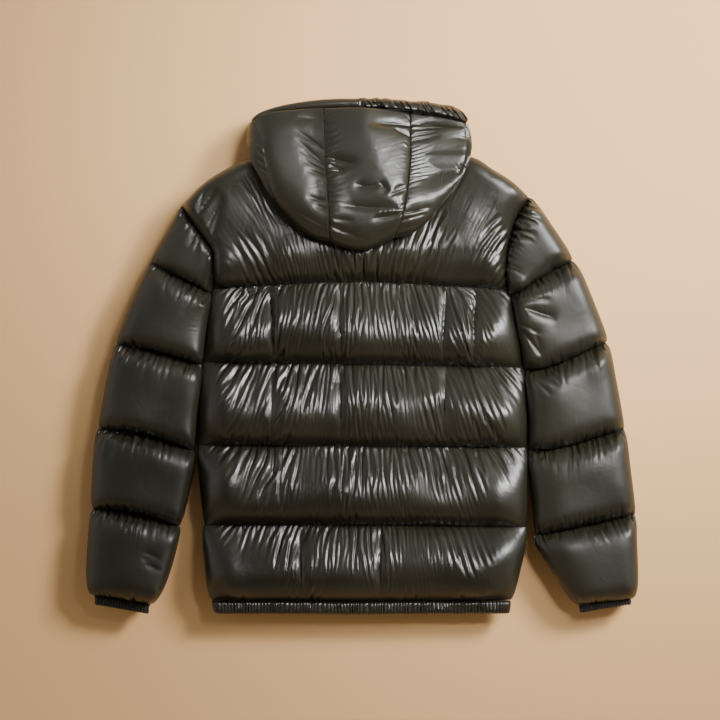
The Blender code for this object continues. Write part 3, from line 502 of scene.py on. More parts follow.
# rows of small shapes along lines: stitches, ribs and zip teeth
def rowTree(name, block):  # block: a box with softened edges; else a round bead
    tree = bpy.data.node_groups.new(name, "GeometryNodeTree")
    sockets = [("Lines", "NodeSocketGeometry"), ("Spacing", "NodeSocketFloat"), ("Size", "NodeSocketVector"),
               ("Unevenness", "NodeSocketFloat"), ("Seed", "NodeSocketInt"), ("Finish", "NodeSocketMaterial")]
    for socket, kind in sockets:
        tree.interface.new_socket(socket, in_out="INPUT", socket_type=kind)
    tree.interface.new_socket("Shapes", in_out="OUTPUT", socket_type="NodeSocketGeometry")
    given = tree.nodes.new("NodeGroupInput").outputs
    curve = addNode(tree, "GeometryNodeMeshToCurve", {"Mesh": given["Lines"]}).outputs[0]
    evenly = addNode(tree, "GeometryNodeResampleCurve", {"Curve": curve, "Length": given["Spacing"]}, mode="LENGTH")
    if block:
        raw = addNode(tree, "GeometryNodeMeshCube", {"Size": (1, 1, 1)}).outputs["Mesh"]
        shape = addNode(tree, "GeometryNodeSubdivisionSurface", {"Mesh": raw, "Level": 1, "Edge Crease": 0.75})
        shape = shape.outputs[0]
    else:
        shape = addNode(tree, "GeometryNodeMeshUVSphere", {"Segments": 8, "Rings": 5, "Radius": 0.5}).outputs["Mesh"]
    sized = addNode(tree, "GeometryNodeTransform", {"Geometry": shape, "Scale": given["Size"]}).outputs[0]
    tangent = addNode(tree, "GeometryNodeInputTangent").outputs[0]
    turn = addNode(tree, "FunctionNodeAlignRotationToVector", {"Vector": tangent}, axis="X").outputs[0]
    least = addNode(tree, "ShaderNodeMath", {0: 1.0, 1: given["Unevenness"]}, operation="SUBTRACT").outputs[0]
    most = addNode(tree, "ShaderNodeMath", {0: 1.0, 1: given["Unevenness"]}, operation="ADD").outputs[0]
    vary = tree.nodes.new("FunctionNodeRandomValue")
    vary.data_type = "FLOAT"
    floats = [socket for socket in vary.inputs if socket.type == "VALUE"]
    tree.links.new(least, floats[0])
    tree.links.new(most, floats[1])
    tree.links.new(given["Seed"], vary.inputs["Seed"])
    amount = next(socket for socket in vary.outputs if socket.type == "VALUE")
    placed = addNode(tree, "GeometryNodeInstanceOnPoints", {"Points": evenly.outputs[0], "Instance": sized,
                                                            "Rotation": turn, "Scale": amount}).outputs[0]
    smooth = addNode(tree, "GeometryNodeSetShadeSmooth", {0: placed}).outputs[0]
    real = addNode(tree, "GeometryNodeRealizeInstances", {0: smooth}).outputs[0]
    done = addNode(tree, "GeometryNodeSetMaterial", {"Geometry": real, "Material": given["Finish"]}).outputs[0]
    tree.links.new(done, tree.nodes.new("NodeGroupOutput").inputs[0])
    return tree


beadRow, blockRow = rowTree("beadRow", False), rowTree("blockRow", True)


def rowAlong(name, lines, tree, finish, slot, **inputs):
    points, edges = [], []
    for line in lines:
        edges += [(len(points) + k, len(points) + k + 1) for k in range(len(line) - 1)]
        points += [tuple(map(float, point)) for point in line]
    mesh = bpy.data.meshes.new(name)
    mesh.from_pydata(points, edges, [])
    piece = bpy.data.objects.new(name, mesh)
    bpy.context.scene.collection.objects.link(piece)
    modifier = piece.modifiers.new("row", "NODES")
    modifier.node_group = tree
    values = {"Finish": finish, "Seed": 5, "Unevenness": 0.06, **inputs}
    for socket in tree.interface.items_tree:
        if socket.in_out == "INPUT" and socket.name in values:
            modifier[socket.identifier] = values[socket.name]
    bpy.context.view_layer.update()
    made = bpy.data.meshes.new_from_object(piece.evaluated_get(bpy.context.evaluated_depsgraph_get()))
    piece.modifiers.remove(modifier)
    piece.data = made
    made.name = name
    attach(piece, "jacket")
    say(f"{name}: {len(made.polygons)} faces")
    return piece


sewing = {"length": 0.0026, "pitch": 0.0034, "thickness": 0.0008, "proud": 0.0003, "ends": 4}
sewnLines = {}


def sew(name, place, rows, down=False):  # keeps the lines of stitches along the rows of a finished grid
    lift = np.array([0, 0, -sewing["proud"] if down else sewing["proud"]])
    for row in rows:
        sewnLines.setdefault(name, []).append(place[row, sewing["ends"]:-sewing["ends"]] + lift)


def finer(values):  # the same values on a grid with twice the points
    for axis in (0, 1):
        values = np.moveaxis(values, axis, 0)
        between = (values[:-1] + values[1:]) / 2
        between[1:-1] = 0.5625 * (values[1:-2] + values[2:-1]) - 0.0625 * (values[:-3] + values[3:])
        joined = np.empty((2 * len(values) - 1,) + values.shape[1:], values.dtype)
        joined[::2], joined[1::2] = values, between
        values = np.moveaxis(joined, 0, axis)
    return values


# gathers: pairs of strength and line; firm: how strongly a point is held at its height
def pillow(panel, height, gathers, seed, ceiling, levels="levels", firm=None):
    target = np.dstack([panel.plan, height])
    held = np.zeros(height.shape, bool)
    held[panel.seamRows] = True
    held[:, [0, -1]] = True
    high = np.broadcast_to(ceiling, height.shape)
    moved = None
    for level in cloth[levels]:
        step = level["step"]
        part = (slice(None, None, step), slice(None, None, step))
        moved = np.zeros_like(target[part]) if moved is None else finer(moved)
        alongAt = panel.y[part] / level["along"]
        wrinkle = sum(strength[part] * valueNoise(lineAt[part] / level["across"], alongAt, seed + step + 10 * number)
                      for number, (strength, lineAt) in enumerate(gathers))
        moved[..., 2] += np.where(held[part], 0, level["seedHeight"] * wrinkle)
        cut = cutLengths(target[part], [(strength[part], lineAt[part]) for strength, lineAt in gathers])
        done = settle(target[part] + moved, cut, held[part], garment["thinnest"], high[part], level, height[part],
                      0 if firm is None else firm[part].astype(np.float32))
        moved = done - target[part]
    return target + moved


def bodyEdges(downs):
    lefts, rights = [], []
    for upper, lower, swell, down in zip(bodySeams, bodySeams[1:], bodySwells, downs):
        lefts.append(swollenEdge(upper[0:2], lower[0:2], swell[0], swell[1], -1, down))
        rights.append(swollenEdge(upper[4:6], lower[4:6], swell[2], swell[3], 1, down))
    return lefts, rights


def edgeBase(panel, fade=0.010, seamHeight=0.003):  # nothing at the sides, a few layers of cloth inside
    return garment["thinnest"] + seamHeight * rounded(np.minimum(panel.fromLeft, panel.fromRight), fade)


def uneven(panel, size, seed, amount=0.5):  # gathers are stronger in some places than in others
    return np.clip(1 + amount * valueNoise(panel.x / size + 7, panel.y / size / 1.6 + 3, seed), 0.15, 2)


def grainOf(lineAt, panel, strength):
    return np.dstack([lineAt, panel.y, np.broadcast_to(strength, lineAt.shape)]).astype(np.float32)


def shifted(place):
    return place + (garment["shiftX"], garment["shiftY"], 0.0)


def dress(name, node, settled, grain, material, down=False):  # down: hangs from the inside plane
    place = shifted(settled.astype(float))
    under = garment["innerPlane"] + (0 if down else garment["pieceGap"])
    place[..., 2] = np.maximum(under - place[..., 2], 0) if down else under + place[..., 2]
    piece = shellMesh(name, place, under, material, grain)
    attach(piece, "jacket")
    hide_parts(node)
    say(f"{name}: {settled.shape[0]} x {settled.shape[1]}")
    return place


# back
backPanel = {
    "width": 0.500, "rowLength": 0.125, "yokeLength": 0.210,
    "cellAcross": 0.74, "cellDown": 1.45, "yokeCellDown": 1.50,
    "loft": 0.0335, "yokeLoft": 0.0265, "flank": 0.048, "yokeFlanks": (0.014, 0.030), "flankPower": 1.6,
    "crest": 0.63, "yokeCrest": 0.58, "crestWander": 0.05, "crestRange": (0.45, 0.85), "yokePlateau": 0.50,
    "ridge": 0.0055, "ridgePhase": 0.76, "ridgeReach": 0.13, "ridgeEnds": 0.04,  # the full lower part of the yoke
    "uneven": 0.10, "seamFade": 0.020, "seamHeight": 0.006, "tuckLoft": 0.012,
    "sag": 0.0080, "sagReach": 0.035, "sagStart": 0.06, "sagLoft": 0.015,  # the hood weighs on the yoke
    "ceiling": 0.0335, "ceilingRise": 0.5, "ceilingReach": 0.05,  # under the hood, and beside it
    "rowMiddles": (0.16, 0.05, -0.075, -0.20, -0.32), "stray": 0.0035,
    "lean": 0.50, "leanReach": 0.20, "yokeLean": 0.60, "yokeLeanReach": 0.15,
    "gather": 0.26, "gatherBase": 0.020, "gatherFade": 0.30, "rowReach": (1.0, 0.86, 0.84, 0.74, 0.56),
    "rowGather": (1.0, 1.0, 0.95, 0.85, 0.75), "reachWander": 0.16, "tuckReach": 0.34, "tuckWidth": 0.016,
    "gatherBelow": 0.12, "belowFade": 0.018, "yokeGather": 0.28, "patch": 0.040, "patchiness": 0.75,
    "smoothSide": 0.028, "sideFade": 0.02, "sideLeast": 0.15,
}
yokeFans = [  # x, y, reach in x and in y
    (-0.163, 0.166, 0.044, 0.032), (-0.070, 0.146, 0.060, 0.020), (0.030, 0.142, 0.050, 0.026),
    (0.100, 0.174, 0.036, 0.040), (0.204, 0.172, 0.018, 0.046),
]
backTucks = [  # short upright seams: start x, y, reach x, y, width on the left, on the right, depth
    (-0.140, 0.112, 0.002, -0.118, 0.0025, 0.0060, 0.0100),
    (-0.034, 0.112, 0.002, -0.118, 0.0030, 0.0040, 0.0060),
    (0.130, 0.108, -0.004, -0.115, 0.0040, 0.0030, 0.0060),
    (0.176, 0.106, -0.002, -0.115, 0.0050, 0.0025, 0.0080),
    (-0.140, -0.016, 0.002, -0.110, 0.0030, 0.0040, 0.0045),
    (-0.034, -0.016, 0.002, -0.110, 0.0030, 0.0040, 0.0060),
    (0.130, -0.018, -0.003, -0.110, 0.0040, 0.0030, 0.0050),
    (-0.095, -0.268, 0.002, -0.105, 0.0030, 0.0040, 0.0055),
    (0.029, -0.268, 0.001, -0.105, 0.0030, 0.0050, 0.0065),
]
shoulderFolds = [  # the same, for the folds in the left shoulder
    (-0.2242, 0.2635, -0.0343, -0.0481, 0.0022, 0.0022, 0.0034),
    (-0.2401, 0.2658, -0.0161, -0.0435, 0.0020, 0.0020, 0.0030),
    (-0.2150, 0.2498, -0.0253, -0.0504, 0.0022, 0.0022, 0.0030),
    (-0.2176, 0.2348, -0.0156, -0.0530, 0.0020, 0.0020, 0.0022),
]
hoodOutline = [  # y, half width
    (0.166, 0.0), (0.178, 0.048), (0.191, 0.082), (0.225, 0.116), (0.260, 0.146), (0.301, 0.168), (0.328, 0.175),
    (0.400, 0.172),
]


def besideHood(panel):  # how far a point of the yoke is from the hood that lies on it
    half = np.interp(panel.y, *zip(*hoodOutline))
    outside = np.maximum(np.abs(panel.x) - half, 0)
    return np.where(panel.y < hoodOutline[0][0], backPanel["ceilingReach"], outside)


def backHeights(panel, yoke, outside):
    size = backPanel
    crest = np.where(yoke, size["yokeCrest"], size["crest"])
    crest = crest + size["crestWander"] * valueNoise(panel.x / 0.06 + 9, panel.row * 3.7 + panel.phase, 3)
    flanks = [np.where(yoke, flank, size["flank"]) for flank in size["yokeFlanks"]]
    height = panel.loft(np.where(yoke, size["yokeLoft"], size["loft"]), *flanks, np.clip(crest, *size["crestRange"]),
                        np.where(yoke, size["yokePlateau"], 1.0), size["flankPower"], yoke)
    ridge = size["ridge"] * np.exp(-((panel.phase - size["ridgePhase"]) / size["ridgeReach"]) ** 2)
    left, right = [rounded(side, size["ridgeEnds"]) for side in (panel.fromLeft, panel.fromRight)]
    height += np.where(yoke, ridge * left * right, 0)
    height *= 1 + size["uneven"] * valueNoise(panel.x / 0.055 + 5, panel.y / 0.050 + 8, 4)
    base = edgeBase(panel, size["seamFade"], size["seamHeight"])
    base[0] = garment["thinnest"]
    sag = size["sag"] * np.exp(-outside / size["sagReach"]) * rounded(np.maximum(panel.x, 0), size["sagStart"])
    height = np.maximum(height - np.where(yoke, sag, 0) * np.minimum(1, height / size["sagLoft"]), 0.0)
    tucked = creaseRelief(backTucks + shoulderFolds, panel.x, panel.y) * np.minimum(1, height / size["tuckLoft"])
    return base + height - tucked, tucked


def backGathers(panel, yoke):  # rows gather from the seam above, the yoke in fans
    size = backPanel
    slope = np.where(yoke, size["yokeLean"] * np.clip(panel.x / size["yokeLeanReach"], -1, 1),
                     -size["lean"] * np.clip(panel.x / size["leanReach"], -1, 1))
    lineAt = panel.x - slope * (panel.y - np.array(size["rowMiddles"])[panel.row])
    lineAt = lineAt + size["stray"] * valueNoise(panel.x / 0.022, panel.y / 0.030, 6)
    fans = sum(np.exp(-((panel.x - x) / reachX) ** 2 - ((panel.y - y) / reachY) ** 2)
               for x, y, reachX, reachY in yokeFans)
    atTucks = sum(np.exp(-((panel.x - x) / size["tuckWidth"]) ** 2) * (np.abs(panel.y - y - reachY / 2) < -reachY / 2)
                  for x, y, _, reachY, *_ in backTucks)
    end = np.array(size["rowReach"])[panel.row] + size["tuckReach"] * np.clip(atTucks, 0, 1)
    end = end + size["reachWander"] * valueNoise(panel.x / 0.024 + 7 * panel.row, panel.row * 5.3, 8)
    fading = (panel.phase - np.clip(end, 0.2, 0.98) + size["gatherFade"]) / size["gatherFade"]
    rows = size["gather"] * (1 - np.clip(fading, 0, 1) ** 1.5) * np.array(size["rowGather"])[panel.row]
    atSeam = size["gatherBelow"] * np.exp(-panel.fromSeams()[1] / size["belowFade"])
    strength = size["gatherBase"] + (np.where(yoke, size["yokeGather"] * np.clip(fans, 0, 1), rows) + atSeam)
    strength = strength * uneven(panel, size["patch"], 5, size["patchiness"])
    side = np.clip((np.minimum(panel.fromLeft, panel.fromRight) - size["smoothSide"]) / size["sideFade"], 0, 1)
    return strength * np.where(yoke, 1, size["sideLeast"] + (1 - size["sideLeast"]) * side), lineAt


def buildBack():
    cell, size = garment["cell"], backPanel
    across = evenSteps(size["width"], size["flank"], size["flank"], size["loft"], cell * size["cellAcross"])
    rowDown = rowSteps(size["rowLength"], size["loft"], cell * size["cellDown"])
    yokeDown = rowSteps(size["yokeLength"], size["yokeLoft"], cell * size["yokeCellDown"])
    downs = [yokeDown] + [rowDown] * 4
    rails = [smoothLine(backTop, across)] + [seamLine(seam, across) for seam in bodySeams]
    lefts, rights = bodyEdges(downs[1:])
    panel = Panel(rails, [smoothLine(leftArmhole, yokeDown)] + lefts, [smoothLine(rightArmhole, yokeDown)] + rights,
                  across, downs)
    yoke, outside = panel.row == 0, besideHood(panel)
    height, tucked = backHeights(panel, yoke, outside)
    strength, lineAt = backGathers(panel, yoke)
    ceiling = size["ceiling"] + size["ceilingRise"] * np.clip(outside, 0, size["ceilingReach"])
    settled = pillow(panel, height, [(strength, lineAt)], 11, ceiling, firm=heldDown(tucked))
    place = dress("backShell", "back_panel", settled, grainOf(lineAt, panel, 0.15 + strength / 0.35), nylon)
    sew("stitchesBack", place, panel.seamRows[1:-1])


# fronts, pressed flat where the jacket lies on them
frontPanel = {
    "width": 0.245, "rowLength": 0.125, "yokeLength": 0.180, "neckLength": 0.09, "pressed": 0.036, "cellShare": 1.7,
    "loft": 0.0400, "flank": 0.045, "zipFlank": 0.022, "neckFlank": 0.042,
    "gather": 0.12, "gatherFade": 0.020, "gatherBase": 0.006,
}


def frontHeights(panel, leftFlank, rightFlank):
    height = edgeBase(panel) + panel.loft(frontPanel["loft"], leftFlank, rightFlank)
    fade = np.exp(-panel.seamDistance / frontPanel["gatherFade"])
    strength = (frontPanel["gatherBase"] + frontPanel["gather"] * fade) * uneven(panel, 0.04, 9)
    return np.minimum(height, garment["innerPlane"]), strength


def buildFront(side):
    cell, size = garment["cell"] * frontPanel["cellShare"], frontPanel
    flanks = (size["flank"], size["zipFlank"]) if side == "left" else (size["zipFlank"], size["flank"])
    across = evenSteps(size["width"], *flanks, size["pressed"], cell)
    yokeDown = rowSteps(size["yokeLength"], size["pressed"], cell)
    downs = [yokeDown] + [rowSteps(size["rowLength"], size["pressed"], cell)] * 4
    rails = [smoothLine(leftFrontTop if side == "left" else rightFrontTop, across)]
    for seam in bodySeams:
        ends = [seam[0:2], (-zipHalf, seam[3])] if side == "left" else [(zipHalf, seam[3]), seam[4:6]]
        rails.append(smoothLine(ends, across))
    bodyLefts, bodyRights = bodyEdges(downs[1:])
    zipEnd = -1 if side == "left" else 0
    zipEdges = [smoothLine([upper[zipEnd], lower[zipEnd]], down)
                for upper, lower, down in zip(rails, rails[1:], downs)]
    if side == "left":
        panel = Panel(rails, [smoothLine(leftArmhole, yokeDown)] + bodyLefts, zipEdges, across, downs)
    else:
        panel = Panel(rails, zipEdges, [smoothLine(rightArmhole, yokeDown)] + bodyRights, across, downs)
    height, strength = frontHeights(panel, *flanks)
    settled = pillow(panel, height, [(strength, panel.x)], 21, garment["innerPlane"])
    grain = grainOf(panel.x, panel, 0.5)
    place = dress("frontShell" + side.title(), "front_" + side, settled, grain, nylon, True)
    sew("stitchesFront", place, panel.seamRows[1:-1], True)
    return rails[0]


neckRim = [(-0.1640, 0.3600), (-0.152, 0.3700), (-0.116, 0.382), (-0.058, 0.391), (-zipHalf, 0.3930)]


def buildNeck(side, frontTop):
    mirror = -1 if side == "right" else 1
    line = frontTop[::mirror] * (mirror, 1)
    line = line[line[:, 0] > -0.166] + (0, garment["sideGap"])
    length = np.concatenate([[0], np.cumsum(np.linalg.norm(np.diff(line, axis=0), axis=1))])
    across = length / length[-1]
    if len(across) % 2 == 0:  # the grid needs an even number of cells
        across, line = np.delete(across, -2), np.delete(line, -2, axis=0)
    top = smoothLine(neckRim, across)
    down = rowSteps(frontPanel["neckLength"], frontPanel["pressed"], garment["cell"] * frontPanel["cellShare"])
    panel = Panel([top, line], [smoothLine([top[0], line[0]], down)], [smoothLine([top[-1], line[-1]], down)],
                  across, [down])
    panel.plan[..., 0] *= mirror
    height, strength = frontHeights(panel, frontPanel["neckFlank"], frontPanel["zipFlank"])
    settled = pillow(panel, height, [(strength, panel.x)], 23, garment["innerPlane"])
    dress("neckShell" + side.title(), "hood_neck_" + side, settled, grainOf(panel.x, panel, 0.5), nylon, True)


# sleeves
sleevePanel = {
    "width": 0.115, "rowLength": 0.125, "reaches": {"left": (0.085, 0.030), "right": (0.030, 0.060)},
    "cellShare": {"upper": 0.80, "under": 1.7}, "cellAcross": 0.95, "cellDown": 1.25, "armholeGap": 0.0001,
    "loft": 0.0315, "underLoft": 0.0400, "rowLofts": (1.0, 1.0, 0.96, 0.90, 0.86), "ceiling": 0.06,
    "innerFlank": {"left": (0.009,) * 5, "right": (0.020, 0.020, 0.030, 0.050, 0.050)},
    "outerFlank": {"left": (0.080,) * 5, "right": (0.020, 0.022, 0.024, 0.024, 0.024)},
    "flankPower": {"left": 1.8, "right": 2.1}, "innerMost": 0.55, "outerMost": 0.70,
    "crests": (0.42, 0.52, 0.52, 0.54, 0.54), "plateau": 0.42, "uneven": 0.07, "seamFade": 0.020, "seamHeight": 0.005,
    "ridge": 0.0075, "ridgeAt": 0.020, "ridgeReach": 0.014, "ridgeStart": 0.05, "inland": 0.016,
    "creaseLoft": 0.012, "pucker": 0.0042, "puckerWidth": 0.0028, "puckerLoft": 0.008, "puckerBelow": 0.6,
    "gather": 0.34, "gatherFade": 0.013, "gatherBelow": 0.18, "belowFade": 0.009, "gatherBase": 0.006, "stray": 0.002,
    "armpit": {"left": (-0.262, 0.040, 0.030, 0.06), "right": (0.262, 0.030, 0.040, 0.16)},  # x, y, reach, gather
    "armpitLean": 0.55,
}
sleeveMounds = {  # x, y, reach in x and in y, rise
    "left": [],
    "right": [(0.238, 0.115, 0.050, 0.080, 0.0070), (0.262, 0.042, 0.030, 0.030, 0.0060),
              (0.297, -0.062, 0.030, 0.030, 0.0050), (0.352, -0.176, 0.034, 0.030, 0.0050)],
}
sleeveCreases = {  # start x, y, reach x, y, width on the left, on the right, depth
    "left": [
        (-0.3400, -0.3040, 0.0290, -0.0110, 0.0015, 0.0025, 0.0025),
        (-0.3370, -0.3220, 0.0260, -0.0110, 0.0015, 0.0025, 0.0025),
        (-0.3430, -0.3140, 0.0160, -0.0030, 0.0015, 0.0020, 0.0015),
    ],
    "right": [
        (0.2520, 0.0745, 0.0500, -0.0170, 0.0050, 0.0018, 0.0070),
        (0.2430, 0.0540, 0.0360, -0.0220, 0.0040, 0.0018, 0.0050),
        (0.2480, 0.0440, 0.0360, -0.0460, 0.0045, 0.0025, 0.0060),
        (0.2700, 0.0400, 0.0110, -0.0380, 0.0020, 0.0020, 0.0040),
        (0.2440, 0.0860, 0.0520, 0.0020, 0.0030, 0.0030, 0.0030),
        (0.2440, 0.0940, 0.0600, 0.0140, 0.0020, 0.0030, 0.0030),
        (0.2640, -0.0200, 0.0440, -0.0290, 0.0040, 0.0018, 0.0060),
        (0.2640, -0.0320, 0.0330, -0.0290, 0.0030, 0.0018, 0.0045),
        (0.2900, -0.0230, 0.0220, -0.0210, 0.0020, 0.0018, 0.0045),
    ],
}


def sleeveGrid(side, seams, swells, layer):  # from the armhole to the cuff, its inner edge beside the body
    size = sleevePanel
    cell = garment["cell"] * size["cellShare"][layer]
    outward = -1 if side == "left" else 1
    across = evenSteps(size["width"], *size["reaches"][side], size["loft"], cell * size["cellAcross"])
    down = rowSteps(size["rowLength"], size["loft"], cell * size["cellDown"])
    gap = (outward * size["armholeGap"], 0)
    if side == "left":
        rails = [smoothLine(leftArmhole, across) + gap]
    else:
        rails = [(smoothLine(rightArmhole, 1 - across[::-1]) + gap)[::-1]]
    rails += [seamLine(seam, across) for seam in seams]
    bodySide = dict(zip(("left", "right"), bodyEdges([down] * 4)))[side]
    near, far = (slice(4, 6), slice(0, 2)) if side == "left" else (slice(0, 2), slice(4, 6))
    top, armpit = (rails[0][0], rails[0][-1]) if side == "left" else (rails[0][-1], rails[0][0])
    inners, outers = [smoothLine([armpit, seams[0][near]], down)], []
    for row, swell in enumerate(swells):
        outerSwell, innerSwell = (swell[0:2], swell[2:4]) if side == "left" else (swell[2:4], swell[0:2])
        start = np.array(top if row == 0 else seams[row - 1][far])
        outers.append(swollenEdge(start, seams[row][far], *outerSwell, outward, down))
        if row == 0:
            continue
        start, end = np.array(seams[row - 1][near]), np.array(seams[row][near])
        if row <= sleeveRowsOnBody[side]:
            inners.append(followedEdge(bodySide[row - 1], start, end, down))
        else:
            inners.append(swollenEdge(start, end, *innerSwell, -outward, down))
    lefts, rights = (outers, inners) if side == "left" else (inners, outers)
    return Panel(rails, lefts, rights, across, [down] * 5)


def sleeveHeights(panel, side, layer):
    size = sleevePanel
    width = panel.fromLeft + panel.fromRight
    flanks = [width * np.minimum(size[most], np.array(size[flank][side])[panel.row] / width)
              for flank, most in (("outerFlank", "outerMost"), ("innerFlank", "innerMost"))]
    flanks = flanks if side == "left" else flanks[::-1]
    loft = size["loft"] * np.array(size["rowLofts"])[panel.row] if layer == "upper" else size["underLoft"]
    height = panel.loft(loft, *flanks, np.array(size["crests"])[panel.row], size["plateau"], size["flankPower"][side])
    height *= 1 + size["uneven"] * valueNoise(panel.x / 0.045 + 5, panel.y / 0.050 + 2, 14)
    height += edgeBase(panel, size["seamFade"], size["seamHeight"])
    if layer == "under":
        return np.minimum(height, garment["innerPlane"])
    inland = np.minimum(np.minimum(panel.fromLeft, panel.fromRight), panel.seamDistance)
    inland = rounded(inland, size["inland"])
    for x, y, reachX, reachY, rise in sleeveMounds[side]:
        height += rise * np.exp(-((panel.x - x) / reachX) ** 2 - ((panel.y - y) / reachY) ** 2) * inland
    if side == "right":  # a ridge beside the armhole
        ridge = np.exp(-((panel.fromLeft - size["ridgeAt"]) / size["ridgeReach"]) ** 2)
        start = rounded(panel.fromSeams()[0], size["ridgeStart"])
        height += size["ridge"] * ridge * inland * (panel.row == 0) * start
    return height


def sleeveCreased(panel, side, height, lineAt):  # the named creases, and puckers beside the seams
    size = sleevePanel
    above, below = panel.fromSeams()
    creased = creaseRelief(sleeveCreases[side], panel.x, panel.y) * np.minimum(1, height / size["creaseLoft"])
    puckers = np.clip(valueNoise(lineAt / size["puckerWidth"] + 40 * panel.row, panel.y / 0.030, 17), 0, 1.6)
    fading = np.exp(-above / size["gatherFade"]) + size["puckerBelow"] * np.exp(-below / size["belowFade"])
    puckers = puckers * fading * np.minimum(1, height / size["puckerLoft"]) * uneven(panel, 0.020, 20, 0.6)
    return np.maximum(creased, size["pucker"] * puckers)


def sleeveGathers(panel, side, lineAt):  # from the seams, and in a fan from the armpit
    size = sleevePanel
    above, below = panel.fromSeams()
    strength = size["gather"] * np.exp(-above / size["gatherFade"])
    strength = strength + size["gatherBelow"] * np.exp(-below / size["belowFade"])
    strength = (size["gatherBase"] + strength) * uneven(panel, 0.030, 15, 0.7)
    armpitX, armpitY, reach, armpitGather = size["armpit"][side]
    fan = armpitGather * np.exp(-((panel.x - armpitX) ** 2 + (panel.y - armpitY) ** 2) / reach ** 2)
    lean = size["armpitLean"] * (-1 if side == "left" else 1)
    fanAt = panel.y + lean * panel.x + 2 * size["stray"] * valueNoise(panel.x / 0.02, panel.y / 0.02, 18)
    return [(strength, lineAt), (fan * uneven(panel, 0.02, 19), fanAt)]


def buildSleeve(side, seams, swells, layer):
    panel = sleeveGrid(side, seams, swells, layer)
    lineAt = panel.fromLeft + sleevePanel["stray"] * valueNoise(panel.x / 0.02, panel.y / 0.03, 16)
    height = sleeveHeights(panel, side, layer)
    creased = sleeveCreased(panel, side, height, lineAt) * (layer == "upper")
    gathers = sleeveGathers(panel, side, lineAt)
    settled = pillow(panel, height - creased, gathers, 31 if side == "left" else 37,
                     sleevePanel["ceiling"] if layer == "upper" else garment["innerPlane"], firm=heldDown(creased))
    grain = grainOf(lineAt, panel, 0.02 + gathers[0][0] / 0.35)
    place = dress(f"sleeve{side.title()}{layer.title()}", f"sleeve_{side}_{layer}", settled, grain, sleeveNylon,
                  layer == "under")
    sew("stitchesSleeve" + side.title(), place, panel.seamRows[1:-1], layer == "under")


# hem band
hemBand = {
    "width": 0.235, "frontWidth": 0.06, "length": 0.021, "cellX": 0.0011, "cellY": 0.0018, "swell": 0.0020,
    "loft": 0.0080, "edge": 0.7, "flank": 0.012, "seamFade": 0.006, "seamHeight": 0.004, "ceiling": 0.03,
    "ribPitch": 0.0050, "ribDepth": 0.30, "ribWander": 0.5, "gather": 0.07, "hold": 0.05,
}


def buildBand(name, node, top, bottom, swells, down, across, steps):
    size = hemBand
    left = swollenEdge(top[0], bottom[0], swells[0], swells[0], -1, steps)
    right = swollenEdge(top[-1], bottom[-1], swells[1], swells[1], 1, steps)
    panel = Panel([top, bottom], [left], [right], across, [steps])
    height = size["loft"] * rounded(panel.seamDistance, panel.halfRow * size["edge"])
    wander = size["ribWander"] * valueNoise(panel.x / 0.018 + 4, panel.y / 0.05, 45)
    ribs = np.sin(2 * np.pi * (panel.x / size["ribPitch"] + wander))
    depth = size["ribDepth"] * np.clip(0.65 + 0.6 * valueNoise(panel.x / 0.009, panel.y / 0.012 + 9, 46), 0.1, 1)
    height = height * (1 - depth * (0.5 - 0.5 * ribs))
    height *= rounded(panel.fromLeft, size["flank"]) * rounded(panel.fromRight, size["flank"])
    base = edgeBase(panel, size["seamFade"], size["seamHeight"])
    base[-1] = garment["thinnest"]
    strength = size["gather"] * uneven(panel, 0.03, 41, 0.35)
    settled = pillow(panel, base + height, [(strength, panel.x)], 43, size["ceiling"], "levelsFine",
                     np.full(height.shape, size["hold"]))
    dress(name, node, settled, grainOf(panel.x, panel, 0.6), nylon, down)


def buildHem():
    steps = rowSteps(hemBand["length"], hemBand["loft"], hemBand["cellY"])
    gap = np.array([0, -garment["sideGap"]])
    across = np.linspace(0, 1, 2 * int(hemBand["width"] / hemBand["cellX"]) + 1)
    buildBand("hemBack", "hem_back", seamLine(bodySeams[-1], across) + gap, seamLine(hemEdge, across),
              (hemBand["swell"], hemBand["swell"]), False, across, steps)
    across = np.linspace(0, 1, 2 * int(hemBand["frontWidth"] / hemBand["cellX"]) + 1)
    for side, ends in (("left", slice(0, 2)), ("right", slice(4, 6))):
        near = -zipHalf if side == "left" else zipHalf
        lines = [[bodySeams[-1][ends], (near, bodySeams[-1][3])], [hemEdge[ends], (near, hemEdge[3])]]
        top, bottom = [smoothLine(line if side == "left" else line[::-1], across) for line in lines]
        swells = (hemBand["swell"], 0) if side == "left" else (0, hemBand["swell"])
        buildBand("hemFront" + side.title(), "hem_front_" + side, top + gap, bottom, swells, True, across, steps)


# hood, thrown back on the yoke
hood = {
    "width": 0.120, "centreWidth": 0.125, "length": 0.200, "cellShare": 0.64, "gap": 0.00015,
    "top": 0.1120, "topY": 0.215, "fall": 0.032, "rimFall": 0.013, "rimPower": 7, "rimSeamY": 0.385, "ceiling": 0.118,
    "flank": 0.042, "rightFlank": 0.022, "rightFrom": 0.075, "rightReach": 0.05,  # the right side rolls over wider
    "foldHeight": 0.009, "foldFlank": 0.016, "leastLift": 0.003,
    "seamDepth": {"hoodLeft": -0.0006, "hoodCentre": 0.0034, "hoodRight": 0.0016}, "seamWidth": 0.0022,
    "seamLeans": (0.30, -0.60), "flatBeside": 0.12, "flatReach": 0.010, "stitchInset": 0.0022,
    "gather": 0.13, "gatherFade": 0.016, "gatherBase": 0.008, "foldGather": 0.5, "foldFade": 0.012,
    "bandGather": 0.10, "bandFade": 0.009, "bandLean": 0.9,
}
